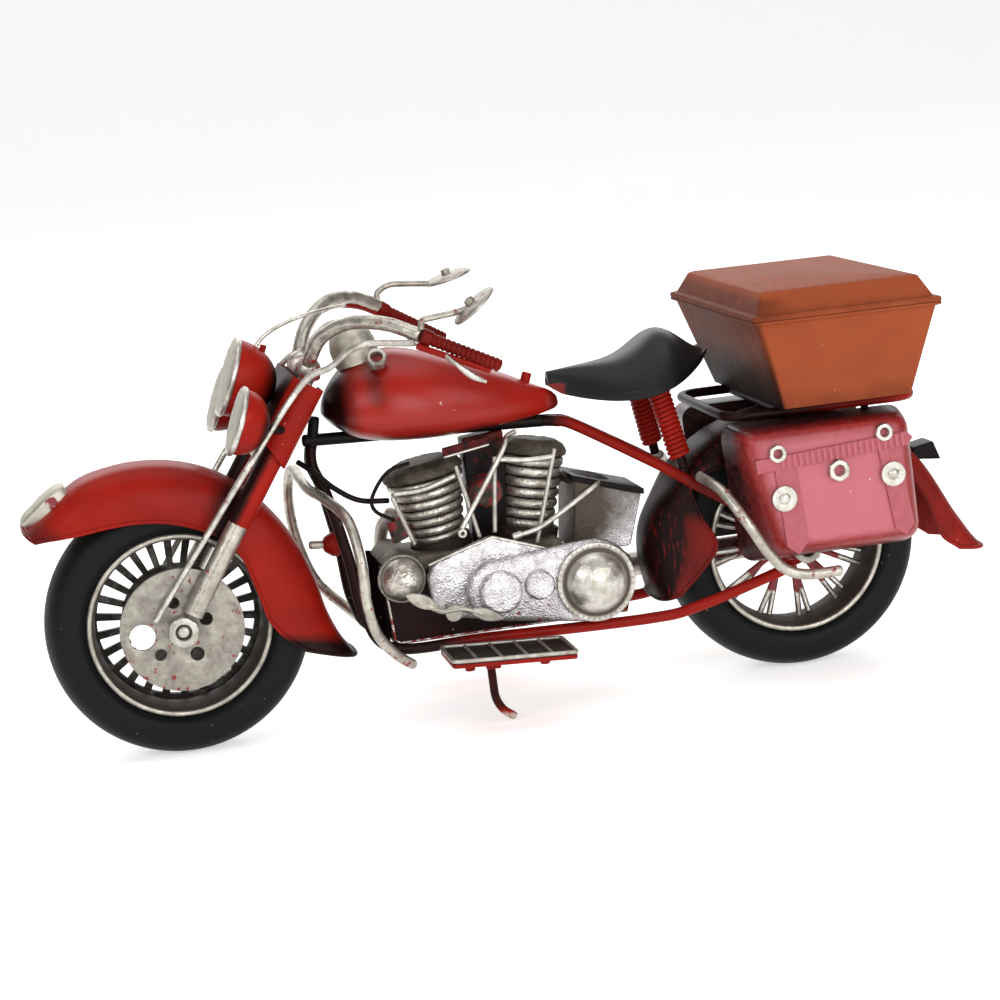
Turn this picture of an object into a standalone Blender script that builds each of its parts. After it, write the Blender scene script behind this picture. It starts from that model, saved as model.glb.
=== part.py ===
"""Tin model motorcycle with saddlebags and a top box, built as separate pieces.

Lengths in the script are millimetres, written in the bike's own layout: x runs back from
the front axle, y to the rider's right, z up from the ground.  place() turns them
into metres about the middle of the bike, so +X is the rear and -Y the left side.
"""
import math

import bmesh
import bpy
import numpy as np
from mathutils import Matrix, Vector

# ---------------------------------------------------------------- driving dimensions
MM = 0.001
WHEEL_RADIUS = 40.0
WHEELBASE = 192.9
MIDDLE_X = 106.2           # middle of the overall length, behind the front axle
RAKE = math.radians(33.0)  # lean of the fork
FORK_HALF = 18.5           # fork leg to the bike's middle plane
TRAIL_OFFSET = 2.5         # steering axis behind the fork legs
WIRE = 3.4                 # frame wire diameter
TYRE_HALF = 10.6           # half width of a tyre
TREAD_HALF = 5.0           # half width of the flat tread
RIM_RADIUS = 27.0
GAP = 0.3                  # clearance between touching pieces
FENDER_HALF = 14.0         # half width of a fender
SHEET = 0.8                # thickness of the tin sheet
BOX_RIM = (173.5, 232.4, 46.6, 114.6)    # front x, rear x, half width, height
BOX_BASE = (183.4, 224.3, 36.5, 86.6)
LID_TOP = (178.7, 227.3, 39.9, 122.9)

for old in list(bpy.data.objects):
    bpy.data.objects.remove(old, do_unlink=True)

PARTS = bpy.data.collections.new("tin_motorcycle")
CUTTERS = bpy.data.collections.new("cutters")
for group in (PARTS, CUTTERS):
    bpy.context.scene.collection.children.link(group)


# ---------------------------------------------------------------- materials
def finish(name, rgb, roughness, metallic):
    """A plain Principled finish."""
    material = bpy.data.materials.new(name)
    material.use_nodes = True
    shader = material.node_tree.nodes["Principled BSDF"]
    shader.inputs["Base Color"].default_value = (*rgb, 1.0)
    shader.inputs["Roughness"].default_value = roughness
    shader.inputs["Metallic"].default_value = metallic
    return material


RED = finish("red_paint", (0.34, 0.015, 0.012), 0.38, 0.0)
BLACK = finish("black_paint", (0.02, 0.018, 0.018), 0.45, 0.0)
SILVER = finish("antique_silver", (0.50, 0.47, 0.42), 0.38, 0.9)
CASTING = finish("dark_casting", (0.22, 0.20, 0.16), 0.5, 0.8)
RUBBER = finish("tyre_rubber", (0.02, 0.024, 0.027), 0.6, 0.0)
SEAT = finish("saddle_black", (0.03, 0.034, 0.036), 0.5, 0.0)
TAN = finish("tan_paint", (0.36, 0.09, 0.035), 0.5, 0.0)


# ---------------------------------------------------------------- placing
def place(x, y, z):
    """A point of the bike's layout, in metres about the middle of the bike."""
    return Vector((x - MIDDLE_X, y, z)) * MM


def fork_point(s, y=0.0, across=0.0):
    """Layout point s up the fork line from the axle; across is the way back, square to it."""
    return (s * math.sin(RAKE) + across * math.cos(RAKE), y,
            WHEEL_RADIUS + s * math.cos(RAKE) - across * math.sin(RAKE))


def axis_frame(name, origin, rotation=(0.0, 0.0, 0.0)):
    """An empty on a joint's axis; the pieces that turn with it are parented to it."""
    empty = bpy.data.objects.new(name, None)
    empty.empty_display_size = 0.02
    empty.location = place(*origin)
    empty.rotation_euler = rotation
    PARTS.objects.link(empty)
    return empty


STEERING = axis_frame("steering_axis", fork_point(0, 0, TRAIL_OFFSET), (0.0, RAKE, 0.0))
FRONT_AXLE = axis_frame("front_axle_axis", (0, 0, WHEEL_RADIUS))
REAR_AXLE = axis_frame("rear_axle_axis", (WHEELBASE, 0, WHEEL_RADIUS))
STAND_PIVOT = axis_frame("stand_axis", (90.0, -24.0, 18.9))
LID_HINGE = axis_frame("lid_axis", (BOX_RIM[1] + 0.8, 0, BOX_RIM[3] + 0.2))


def hang(thing, parent):
    """Parent a piece to an axis without moving it."""
    bpy.context.view_layer.update()
    if parent is not None:
        thing.parent = parent
        thing.matrix_parent_inverse = parent.matrix_world.inverted()
    return thing


# ---------------------------------------------------------------- shapes
def add_mesh(name, mesh, material, parent=None, smooth=35.0, group=PARTS):
    """Wrap a mesh in an object of the model."""
    thing = bpy.data.objects.new(name, mesh)
    group.objects.link(thing)
    if material is not None:
        mesh.materials.append(material)
    if smooth:
        mesh.shade_smooth()
        mesh.set_sharp_from_angle(angle=math.radians(smooth))
    return hang(thing, parent)


def smooth_route(points, count):
    """Points of a smooth curve through the route's own points (Catmull-Rom)."""
    route = np.array(points, float)
    ends = np.vstack([2 * route[0] - route[1], route, 2 * route[-1] - route[-2]])
    spans = len(route) - 1
    stations = np.linspace(0.0, spans, count)
    out = []
    for station in stations:
        span = min(int(station), spans - 1)
        t = station - span
        a, b, c, d = ends[span:span + 4]
        out.append(0.5 * (2 * b + (c - a) * t + (2 * a - 5 * b + 4 * c - d) * t ** 2
                          + (3 * b - a - 3 * c + d) * t ** 3))
    return out


def tube(name, points, diameter, material, parent=None, count=None, cyclic=False, radii=None):
    """A wire or tube along a route; radii scales the thickness at its points."""
    route = points if count is None else smooth_route(points, count)
    curve = bpy.data.curves.new(name, "CURVE")
    curve.dimensions = "3D"
    curve.bevel_depth = diameter / 2 * MM
    curve.bevel_resolution = 2
    curve.use_fill_caps = True
    spline = curve.splines.new("POLY")
    spline.points.add(len(route) - 1)
    for index, p in enumerate(route):
        spline.points[index].co = (*place(*p), 1.0)
        if radii is not None:
            spline.points[index].radius = radii[index]
    spline.use_cyclic_u = cyclic
    thing = bpy.data.objects.new(name, curve)
    PARTS.objects.link(thing)
    curve.materials.append(material)
    return hang(thing, parent)


def turned(name, profile, centre, axis, material, steps=24, parent=None, group=PARTS, turn=0.0):
    """A turned piece: profile is (radius, height) down its outer side, about axis."""
    mesh = bpy.data.meshes.new(name)
    closed = profile[0][0] > 0
    count = len(profile)
    edges = [(i, i + 1) for i in range(count - 1)] + ([(count - 1, 0)] if closed else [])
    mesh.from_pydata([(r * MM, 0, h * MM) for r, h in profile], edges, [])
    thing = bpy.data.objects.new(name, mesh)
    group.objects.link(thing)
    if material is not None:
        mesh.materials.append(material)
    screw = thing.modifiers.new("turn", "SCREW")
    screw.steps = screw.render_steps = steps
    screw.use_merge_vertices = True
    screw.merge_threshold = 0.00001
    screw.use_smooth_shade = True
    direction = Vector(axis).normalized()
    thing.rotation_mode = "QUATERNION"
    spin = Matrix.Rotation(turn, 4, "Z").to_quaternion()
    thing.rotation_quaternion = direction.to_track_quat("Z", "Y") @ spin
    thing.location = place(*centre)
    return hang(thing, parent)


def plate(name, outlines, y_middle, thickness, material, parent=None):
    """A flat piece standing in the bike's long plane; outlines after the first are holes."""
    curve = bpy.data.curves.new(name, "CURVE")
    curve.dimensions = "2D"
    curve.fill_mode = "BOTH"
    curve.extrude = thickness / 2 * MM
    for outline in outlines:
        spline = curve.splines.new("POLY")
        spline.points.add(len(outline) - 1)
        for index, (x, z) in enumerate(outline):
            spline.points[index].co = ((x - MIDDLE_X) * MM, z * MM, 0, 1)
        spline.use_cyclic_u = True
    thing = bpy.data.objects.new(name, curve)
    PARTS.objects.link(thing)
    curve.materials.append(material)
    thing.rotation_euler = (math.pi / 2, 0, 0)
    thing.location = (0, y_middle * MM, 0)
    return hang(thing, parent)


def circle(x, z, radius, count=20):
    """Outline of a round disc or hole."""
    angles = [2 * math.pi * i / count for i in range(count)]
    return [(x + radius * math.cos(a), z + radius * math.sin(a)) for a in angles]


def surface(name, rings, material, parent=None, close=True, thickness=0.0, group=PARTS, smooth=35.0):
    """Skin over rings of points; close caps the ends, thickness makes an open sheet solid."""
    mesh = bpy.data.meshes.new(name)
    bm = bmesh.new()
    rows = [[bm.verts.new(place(*p)) for p in ring] for ring in rings]
    for a, b in zip(rows, rows[1:]):
        last = len(a) if close else len(a) - 1
        for i in range(last):
            j = (i + 1) % len(a)
            bm.faces.new((a[i], a[j], b[j], b[i]))
    if close:
        bm.faces.new(rows[0][::-1])
        bm.faces.new(rows[-1])
    bmesh.ops.recalc_face_normals(bm, faces=bm.faces)
    bm.to_mesh(mesh)
    bm.free()
    thing = add_mesh(name, mesh, material, parent, smooth, group)
    if thickness:
        solid = thing.modifiers.new("sheet", "SOLIDIFY")
        solid.thickness = thickness * MM
        solid.offset = -1.0
        solid.use_even_offset = True
    return thing


def block(name, size, centre, material=None, rotation=(0, 0, 0), parent=None, group=PARTS, bevel=0.0):
    """A box with its place in its object's transform."""
    mesh = bpy.data.meshes.new(name)
    bm = bmesh.new()
    bmesh.ops.create_cube(bm, size=1.0, matrix=Matrix.Diagonal((*(s * MM for s in size), 1.0)))
    bm.to_mesh(mesh)
    bm.free()
    thing = add_mesh(name, mesh, material, None, 0.0, group)
    thing.location = place(*centre)
    thing.rotation_euler = rotation
    if bevel:
        edge = thing.modifiers.new("edge", "BEVEL")
        edge.width = bevel * MM
        edge.segments = 2
    return hang(thing, parent)


def as_mesh(thing):
    """Turn a finished object, curves included, into a plain welded mesh in world space."""
    bpy.context.view_layer.update()
    evaluated = thing.evaluated_get(bpy.context.evaluated_depsgraph_get())
    mesh = bpy.data.meshes.new_from_object(evaluated)
    mesh.transform(thing.matrix_world)
    bm = bmesh.new()
    bm.from_mesh(mesh)
    bmesh.ops.remove_doubles(bm, verts=bm.verts, dist=0.00001)
    bm.to_mesh(mesh)
    bm.free()
    bpy.data.objects.remove(thing, do_unlink=True)
    return mesh


def combine(name, first, others, material, parent=None, operation="UNION"):
    """Join pieces to the first one, or cut them from it, leaving one body."""
    base = add_mesh(name + "_body", as_mesh(first), material, None, 0.0)
    for index, other in enumerate(others):
        cutter = add_mesh(f"{name}_tool_{index}", as_mesh(other), None, None, 0.0, CUTTERS)
        cutter.hide_render = True
        cutter.display_type = "WIRE"
        cut = base.modifiers.new(f"step_{index}", "BOOLEAN")
        cut.operation = operation
        cut.object = cutter
    mesh = as_mesh(base)
    return add_mesh(name, mesh, material, parent)


def sides():
    """The left side, then the right, with the sign of y for each."""
    return (("left", -1), ("right", 1))


# ---------------------------------------------------------------- frame of bent wire
head_axis = (math.sin(RAKE), 0, math.cos(RAKE))
turned("head_tube", [(4.5, 18), (4.5, 0), (2.3, 0), (2.3, 18)],
       fork_point(59, 0, TRAIL_OFFSET), head_axis, BLACK, 20)

backbone = tube("backbone", [(43.3, 0, 89.6), (60, 0, 88.9), (90, 0, 87.8), (120.6, 0, 86.6)],
                3.6, BLACK)
neck = tube("neck", [(47.8, 0, 96.6), (46.4, 0, 89.4), (44.6, 0, 84.6)], WIRE, BLACK)
combine("backbone_tube", backbone, [neck], BLACK)

for side, sign in sides():
    tube(f"cradle_tube_{side}",
         [(44.6, 2.2 * sign, 82.4), (48.4, 5 * sign, 73), (52.4, 9 * sign, 54), (55.2, 12 * sign, 36),
          (63, 15.4 * sign, 25.6), (92, 16 * sign, 25), (141, 17 * sign, 24.2), (158, 18.5 * sign, 26.4),
          (188.2, 20 * sign, 35.2)], WIRE, RED, count=30)
    tube(f"seat_stay_{side}",
         [(121.6, 2.2 * sign, 86.3), (127, 3.4 * sign, 84.6), (146, 11 * sign, 73.2),
          (153.5, 16.5 * sign, 68.4), (162, 19.4 * sign, 62.5), (176, 19.8 * sign, 53.6),
          (189.2, 19.6 * sign, 45.2)], WIRE, RED, count=18)


# ---------------------------------------------------------------- fuel tank and saddle
TANK_X = (50.0, 123.2)     # nose and tail of the tank
# outline over and under the tank as (x, z) pairs, and the height of its widest line
TANK_TOP = [(50, 97.5), (52.5, 104), (58.8, 111), (67, 114), (75.4, 114.3), (90.9, 109.6), (105.1, 103.6),
            (115.8, 98.4), (121, 95), (123.2, 92)]
TANK_UNDER = [(50, 97), (52, 95), (54.4, 93), (59.7, 89.2), (70.4, 86.8), (88.7, 86.3), (111, 88),
              (120, 90.2), (123.2, 91.6)]
TANK_WIDEST = [(50, 97.2), (62, 96.6), (90, 94.4), (123.2, 91.8)]


def height_on(outline, x):
    """Height of an outline at x."""
    return float(np.interp(x, [p[0] for p in outline], [p[1] for p in outline]))


def tank_rings(grow=0.0, stations=14, around=20):
    """Teardrop tank: blunt nose, highest at a third, running down to a point at the tail."""
    nose, tail = TANK_X
    rings = []
    for index in range(stations):
        t = 0.5 - 0.5 * math.cos(math.pi * (0.04 + 0.92 * index / (stations - 1)))
        x = nose + (tail - nose) * t
        half = 18.3 * t ** 0.46 * (1 - t) ** 0.92 / 0.4155 + grow
        middle = height_on(TANK_WIDEST, x)
        up_by = height_on(TANK_TOP, x) + grow - middle
        down_by = middle - height_on(TANK_UNDER, x) + grow
        ring = []
        for k in range(around):
            a = 2 * math.pi * k / around
            up, out = math.sin(a), math.cos(a)
            wide = math.copysign(abs(out) ** 0.85, out)
            ring.append((x, half * wide, middle + (up_by if up > 0 else down_by) * up))
        rings.append(ring)
    return rings


tank = surface("tank", tank_rings(), RED)
groove = block("tank_groove", (84, 4.6, 9), (80.6, 0, 85.9), rotation=(0, math.radians(2.2), 0),
               group=CUTTERS)
combine("fuel_tank", tank, [groove], RED, operation="DIFFERENCE")

dash_bowl = turned("dash_bowl", [(0, 8.5), (3.4, 8.0), (6.4, 6.0), (7.8, 3.0), (8.2, -6), (0, -6)],
                   (61.0, 0, 111.4), (-0.26, 0, 1), SILVER, 20)
tank_grown = surface("tank_grown", tank_rings(GAP), None)
combine("dash_cover", dash_bowl, [tank_grown], SILVER, operation="DIFFERENCE")


def saddle_height(t):
    """Middle line of the saddle from nose (0) to the back (1)."""
    return 101.6 + 1.6 * math.sin(math.pi * t) + 8.2 * math.exp(-((t - 0.72) / 0.2) ** 2)


def saddle_rings(stations=13, across=9, thick=3.6):
    """Saddle pan: narrow nose, wide wings that droop, a hump rising at the back."""
    rings = []
    for index in range(stations):
        t = index / (stations - 1)
        x = 120.2 + 50.0 * t
        reach = 2.0 + 20.0 * math.sin(math.pi * min(1.0, (0.02 + 0.98 * t) ** 1.25) * 0.93) ** 1.15
        crown = saddle_height(t)
        edge = 98.4 - 4.4 * math.sin(math.pi * t ** 0.85) + 5.4 * t ** 3
        upper, lower = [], []
        for k in range(across):
            s = -1 + 2 * k / (across - 1)
            z = crown + (edge - crown) * abs(s) ** 2.4
            thin = thick * (1 - 0.35 * abs(s) ** 3)
            upper.append((x, reach * s, z))
            lower.append((x, reach * s * 0.96, z - thin))
        rings.append(upper + lower[::-1])
    return rings


surface("saddle", saddle_rings(), SEAT)
for side, sign in sides():
    turned(f"saddle_spring_{side}", [(0, 20.4), (3.5, 20.4), (3.5, 0), (0, 0)],
           (155.9, 16.4 * sign, 73.4), (-4.3, -2.4 * sign, 20), RED, 12)


# ---------------------------------------------------------------- engine
def slab(name, floor, rim, thickness, material):
    """An open tray: floor and rim are four corners each."""
    mesh = bpy.data.meshes.new(name)
    bm = bmesh.new()
    low = [bm.verts.new(place(*p)) for p in floor]
    high = [bm.verts.new(place(*p)) for p in rim]
    bm.faces.new(low[::-1])
    for i in range(4):
        j = (i + 1) % 4
        bm.faces.new((low[i], low[j], high[j], high[i]))
    bmesh.ops.recalc_face_normals(bm, faces=bm.faces)
    bm.to_mesh(mesh)
    bm.free()
    thing = add_mesh(name, mesh, material, None, 0.0)
    solid = thing.modifiers.new("sheet", "SOLIDIFY")
    solid.thickness = thickness * MM
    solid.offset = -1.0
    solid.use_even_offset = True
    return thing


slab("engine_tray",
     [(63, -13.3, 26.6), (136, -13.3, 26.6), (136, 13.3, 26.6), (63, 13.3, 26.6)],
     [(60.8, -13.9, 51), (138, -13.9, 35), (138, 13.9, 35), (60.8, 13.9, 51)], 0.9, RED)
plate("crankcase", [[(65.0, 28.0), (133.5, 28.0), (133.5, 42.0), (120, 45.4), (117.5, 52.4),
                     (72, 52.4), (63.4, 48.6)]], 0.0, 24.6, CASTING)
plate("timing_cover", [[(74.6, 33.5), (98, 30.2), (112.5, 30.2), (112.5, 50.2), (95.2, 56.4),
                        (74.6, 50.2)]], -16.5, 4.4, SILVER)


def engine_cylinder(number, base, lean, low_radius, top_radius, height, fins=6):
    """A finned barrel that widens to the top, with a domed head on it."""
    axis = (math.sin(lean), 0, math.cos(lean))
    pitch = height / fins
    profile = [(0, height)]
    for fin in range(fins, 0, -1):
        top = fin * pitch
        radius = low_radius + (top_radius - low_radius) * top / height
        profile += [(radius, top - 0.001 * fin), (radius, top - 0.62 * pitch),
                    (radius * 0.86, top - 0.66 * pitch), (radius * 0.86, top - 0.99 * pitch)]
    profile.append((0, profile[-1][1]))
    turned(f"cylinder_{number}", profile, base, axis, CASTING, 16)
    seat = Vector(base) + Vector(axis) * (height + GAP)
    rim = top_radius + 0.4
    turned(f"cylinder_head_{number}",
           [(0, 5.2), (rim * 0.5, 4.6), (rim * 0.82, 3.2), (rim, 1.6), (rim, 0), (0, 0)],
           tuple(seat), axis, CASTING, 16)


engine_cylinder("front", (82.4, 0, 54.3), math.radians(-9), 7.6, 12.2, 20.4)
engine_cylinder("rear", (110.0, 0, 54.6), math.radians(10), 7.8, 9.6, 22.6)

turned("generator_dome", [(0, 8.0), (2.8, 7.4), (5.2, 5.4), (6.6, 2.4), (6.7, 0), (0, 0)],
       (67.2, -14.3, 46.4), (0, -1, 0), CASTING, 20)
turned("clutch_dome", [(0, 6.6), (3.6, 6.1), (7.0, 4.4), (9.4, 1.8), (10.0, 1.2), (12.3, 1.2),
                       (12.3, 0), (0, 0)], (124.7, -23.7, 39.5), (0, -1, 0), SILVER, 28)


def primary_outline(front, rear, count=9):
    """Belt-shaped outline round two circles given as (x, z, radius)."""
    spread = math.hypot(rear[0] - front[0], rear[1] - front[1])
    lean = math.atan2(rear[1] - front[1], rear[0] - front[0])
    open_angle = math.acos((front[2] - rear[2]) / spread)
    outline = []
    for (x, z, r), start, stop in ((front, lean + open_angle, lean + 2 * math.pi - open_angle),
                                   (rear, lean - open_angle, lean + open_angle)):
        for i in range(count):
            a = start + (stop - start) * i / (count - 1)
            outline.append((x + r * math.cos(a), z + r * math.sin(a)))
    return outline


primary = plate("primary", [primary_outline((95.2, 40.4, 8.6), (124.7, 39.5, 12.9))], -21.2, 4.4, SILVER)
front_cap = turned("front_cap", [(0, 3.6), (6.0, 3.6), (6.5, 3.0), (6.5, 0), (0, 0)],
                   (95.2, -22.8, 40.4), (0, -1, 0), SILVER, 20)
middle_cap = turned("middle_cap", [(0, 2.6), (4.2, 2.6), (4.6, 2.1), (4.6, 0), (0, 0)],
                    (107.3, -22.8, 40.9), (0, -1, 0), SILVER, 16)
combine("primary_cover", primary, [front_cap, middle_cap], SILVER)

tube("oil_line_front", [(107.6, -7.5, 85.6), (104.2, -9.4, 84.4), (101.6, -12.6, 80.4),
                        (85.6, -16.4, 58.0)], 1.7, SILVER, count=9)
oil_line = tube("oil_line_rear", [(131.5, -10.2, 67.0), (127.5, -12.8, 65.0), (112.0, -15.6, 57.2),
                                  (104.0, -16.2, 55.2)], 1.7, SILVER, count=8)
air_case = plate("air_case", [[(123.6, 69.2), (144.6, 62.4), (139.6, 46.2), (121.6, 46.8)]], 0.0, 22.0,
                 SILVER)
combine("air_box", air_case, [oil_line], SILVER)

exhaust_route = [(71.0, 14.2, 62.0), (67.6, 19.0, 56.0), (67.4, 22.6, 46.0), (70.5, 25.0, 36.6),
                 (79.0, 26.4, 32.0), (96.0, 27.2, 31.2), (124.0, 27.6, 31.6), (130.0, 27.6, 31.8),
                 (204.0, 27.6, 33.6), (212.0, 27.6, 33.8), (219.0, 27.6, 34.0)]
tube("exhaust_pipe", exhaust_route, 4.4, SILVER, radii=[1, 1, 1, 1, 1, 1, 1, 1.8, 1.8, 1.3, 1.3])


def leaf(x, z, length, width, lean, count=6):
    """Upper half and lower half of a leaf pad, tip to tip."""
    upper, lower = [], []
    for i in range(count + 1):
        t = i / count
        along, out = length * (t - 0.5), width / 2 * math.sin(math.pi * t) ** 0.8
        for rows, up in ((upper, out), (lower, -out)):
            rows.append((x + along * math.cos(lean) - up * math.sin(lean),
                         z + along * math.sin(lean) + up * math.cos(lean)))
    return upper, lower


def pedal_outline():
    """Heel-and-toe lever: two leaf pads joined by a narrow bar."""
    toe_up, toe_low = leaf(70.6, 41.4, 11, 4.0, math.radians(-28))
    heel_up, heel_low = leaf(89.4, 34.6, 11, 3.6, math.radians(-22))
    return toe_up[:-1] + heel_up[1:] + heel_low[::-1][1:-1] + toe_low[::-1][1:-1]


pedal = plate("pedal", [pedal_outline()], -27.4, 1.2, SILVER)
pedal_pin = turned("pedal_pin", [(0, 9.0), (2.6, 9.0), (2.6, 7.6), (1.4, 7.6), (1.4, 0), (0, 0)],
                   (79.8, -19.0, 38.2), (0, -1, 0), SILVER, 12)
combine("shift_pedal", pedal, [pedal_pin], SILVER)

for side, sign in sides():
    board = block(f"board_{side}", (38.4, 22.0, 1.8), (94.8, 29.6 * sign, 23.2),
                  rotation=(0, math.radians(3.2), 0), group=CUTTERS)
    lug = block(f"lug_{side}", (4.4, 3.0, 4.6), (90.0, 28.0 * sign, 20.6), group=CUTTERS)
    combine(f"footboard_{side}", board, [lug], SILVER)

tube("side_stand", [(90.0, -24.0, 18.9), (90.2, -24.0, 13.0), (90.6, -24.0, 8.2), (92.6, -23.8, 4.2),
                    (96.2, -23.6, 1.35)], 2.6, RED, STAND_PIVOT, count=9)

# ---------------------------------------------------------------- guard bars and rack
tube("crash_bar",
     [(67.5, -18.4, 20.4), (61.5, -25, 26.0), (55.6, -31, 34.4), (53.2, -33, 45), (52.9, -32.4, 57),
      (51.2, -25, 68.4), (46.4, -12, 73.4), (43.4, -3, 75.0), (42.4, 8, 76.8), (42.0, 20, 78.0), (41.4, 29, 74.4),
      (41.0, 32.6, 64), (42.6, 32.6, 52), (46.8, 31, 40), (54.0, 26.4, 32), (59.5, 19.6, 27.0)],
     3.2, SILVER, count=37)
for side, sign in sides():
    tube(f"guard_bar_{side}",
         [(159.4, 23.6 * sign, 67.6), (163.4, 34 * sign, 64), (168.4, 40.6 * sign, 55),
          (173.8, 41 * sign, 45.6), (179.2, 41 * sign, 39.2), (186, 41 * sign, 36.6),
          (197, 40.6 * sign, 36.3)], 3.3, SILVER, count=16)


def rounded_rectangle(x0, x1, y0, y1, radius, corner=4):
    """Plan outline with round corners, as (x, y) pairs."""
    outline = []
    for cx, cy, start in ((x1 - radius, y1 - radius, 0), (x0 + radius, y1 - radius, 90),
                          (x0 + radius, y0 + radius, 180), (x1 - radius, y0 + radius, 270)):
        for i in range(corner + 1):
            a = math.radians(start + 90 * i / corner)
            outline.append((cx + radius * math.cos(a), cy + radius * math.sin(a)))
    return outline


RACK_Z = 84.9
rack_loop = tube("rack_loop", [(x, y, RACK_Z) for x, y in rounded_rectangle(168.5, 228, -29, 29, 7)],
                 3.0, BLACK, cyclic=True)
rack_bars = [tube(f"rack_bar_{i}", [(x, -29, RACK_Z), (x, 29, RACK_Z)], 2.6, BLACK)
             for i, x in enumerate((186, 207))]
combine("luggage_rack", rack_loop, rack_bars, BLACK)


# ---------------------------------------------------------------- fenders
def fender_rings(axle_x, stations, around=9):
    """Rings of a hooded fender: stations are (angle, crown radius, skirt radius) about the axle."""
    rings = []
    for degrees, crown, skirt in stations:
        a = math.radians(degrees)
        ring = []
        for k in range(around):
            s = -1 + 2 * k / (around - 1)
            drop = abs(s) ** 2.6
            out = FENDER_HALF * math.copysign(1 - (1 - abs(s)) ** 1.9, s)
            radius = crown - (crown - skirt) * drop
            ring.append((axle_x + radius * math.cos(a), out, WHEEL_RADIUS + radius * math.sin(a)))
        rings.append(ring)
    return rings


# angles run from the rear (0) over the top (90) to the front (180)
FRONT_FENDER = [(-17.7, 55, 38), (-13.5, 50.4, 32.2), (-8, 47, 28.6), (-1, 44.6, 26.2), (8, 43.4, 25.4),
                (18, 42.8, 25.3), (30, 42.9, 26), (46, 43.8, 28.4), (62, 45.8, 29.8), (78, 47.6, 31),
                (94, 49.4, 33), (107, 51, 35.2), (118, 52.4, 37.8), (128, 52.2, 41.2), (135, 52.6, 45.2),
                (141.5, 54.4, 50.6)]
REAR_FENDER = [(-8.5, 63.4, 53), (-4, 58.2, 46.6), (4, 53.2, 44.6), (13, 50.2, 43.2), (24, 48.2, 41),
               (38, 46.2, 36.5), (54, 44.2, 33.5), (72, 42.8, 31.5), (92, 42.6, 31), (112, 43.2, 31.5),
               (130, 44.2, 36), (144, 44.8, 40.5), (156, 46, 34.5), (168, 48, 28), (178, 48.2, 28),
               (188, 47.6, 33.5), (195, 47.2, 41)]
surface("front_fender", fender_rings(0, FRONT_FENDER), RED, STEERING, close=False, thickness=SHEET)
rear_hood = surface("rear_hood", fender_rings(WHEELBASE, REAR_FENDER), RED, None, close=False,
                    thickness=SHEET)
tail_bracket = block("tail_bracket", (6.0, 8.0, 6.0), (238.4, 0, 61.8), rotation=(0, math.radians(-24), 0),
                     group=CUTTERS)
combine("rear_fender", rear_hood, [tail_bracket], RED)


def fender_cap_rings():
    """Marker lamp on the front tip: a low wedge that follows the fender's crown."""
    rings = []
    for degrees, crown, half, height in ((140.5, 54.4, 3.6, 1.2), (138, 53.8, 5.2, 2.0),
                                         (132, 52.8, 6.0, 2.5), (126, 52.6, 5.8, 2.0), (121.5, 52.6, 4.4, 0.8)):
        a = math.radians(degrees)
        ring = []
        for s, lift in ((-1, 0.35), (-0.8, 0.75), (-0.4, 1.0), (0.4, 1.0), (0.8, 0.75), (1, 0.35)):
            r = crown + GAP + 0.15 + height * lift
            ring.append((r * math.cos(a), half * s, WHEEL_RADIUS + r * math.sin(a)))
        for s in (0.9, -0.9):
            r = crown + GAP + 0.15
            ring.append((r * math.cos(a), half * s, WHEEL_RADIUS + r * math.sin(a)))
        rings.append(ring)
    return rings


surface("fender_lamp", fender_cap_rings(), SILVER, STEERING)


# ---------------------------------------------------------------- luggage
def bag_rings(sign):
    """Pressed saddlebag: widest against the wheel, drawn in and rounded at its outer face."""
    rings = []
    for y, inset, x0, x1, x2, x3 in ((22.0, 0.0, 167.4, 225.6, 227.6, 171.2), (36.4, 0.4, 168.0, 222.4, 224.4, 176.4),
                                     (39.6, 1.2, 168.0, 221.4, 223.2, 177.6), (41.2, 3.2, 168.2, 221.0, 223.0, 178.0)):
        low = 38.6 + (y - 22.0) * 0.25
        corners = [(x0 + inset, 81.8 - inset), (x1 - inset, 81.8 - inset), (x2 - inset, low + inset),
                   (x3 + inset, low + inset)]
        ring = []
        for i, corner in enumerate(corners):
            here = Vector(corner)
            back = (Vector(corners[i - 1]) - here).normalized()
            ahead = (Vector(corners[(i + 1) % 4]) - here).normalized()
            round_off = 5.0 - 0.4 * inset
            for t in (0.0, 0.33, 0.67, 1.0):
                p = here + back * round_off * (1 - t) ** 2 + ahead * round_off * t ** 2
                ring.append((p.x, y * sign, p.y))
        rings.append(ring)
    return rings


for side, sign in sides():
    surface(f"saddlebag_{side}", bag_rings(sign), RED)


def corners_at(x0, x1, half, z):
    """Four plan corners at one height."""
    return [(x0, -half, z), (x1, -half, z), (x1, half, z), (x0, half, z)]


def box_shell(name, levels, material, parent):
    """Tapered tin box or lid: its closed face first, then the corners up to the lip."""
    mesh = bpy.data.meshes.new(name)
    bm = bmesh.new()
    rows = [[bm.verts.new(place(*p)) for p in level] for level in levels]
    bm.faces.new(rows[0])
    for a, b in zip(rows, rows[1:]):
        for i in range(4):
            j = (i + 1) % 4
            bm.faces.new((a[i], a[j], b[j], b[i]))
    bmesh.ops.recalc_face_normals(bm, faces=bm.faces)
    bm.to_mesh(mesh)
    bm.free()
    thing = add_mesh(name, mesh, material, None, 0.0)
    solid = thing.modifiers.new("sheet", "SOLIDIFY")
    solid.thickness = SHEET * MM
    solid.offset = -1.0
    solid.use_even_offset = True
    return hang(thing, parent)


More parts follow.
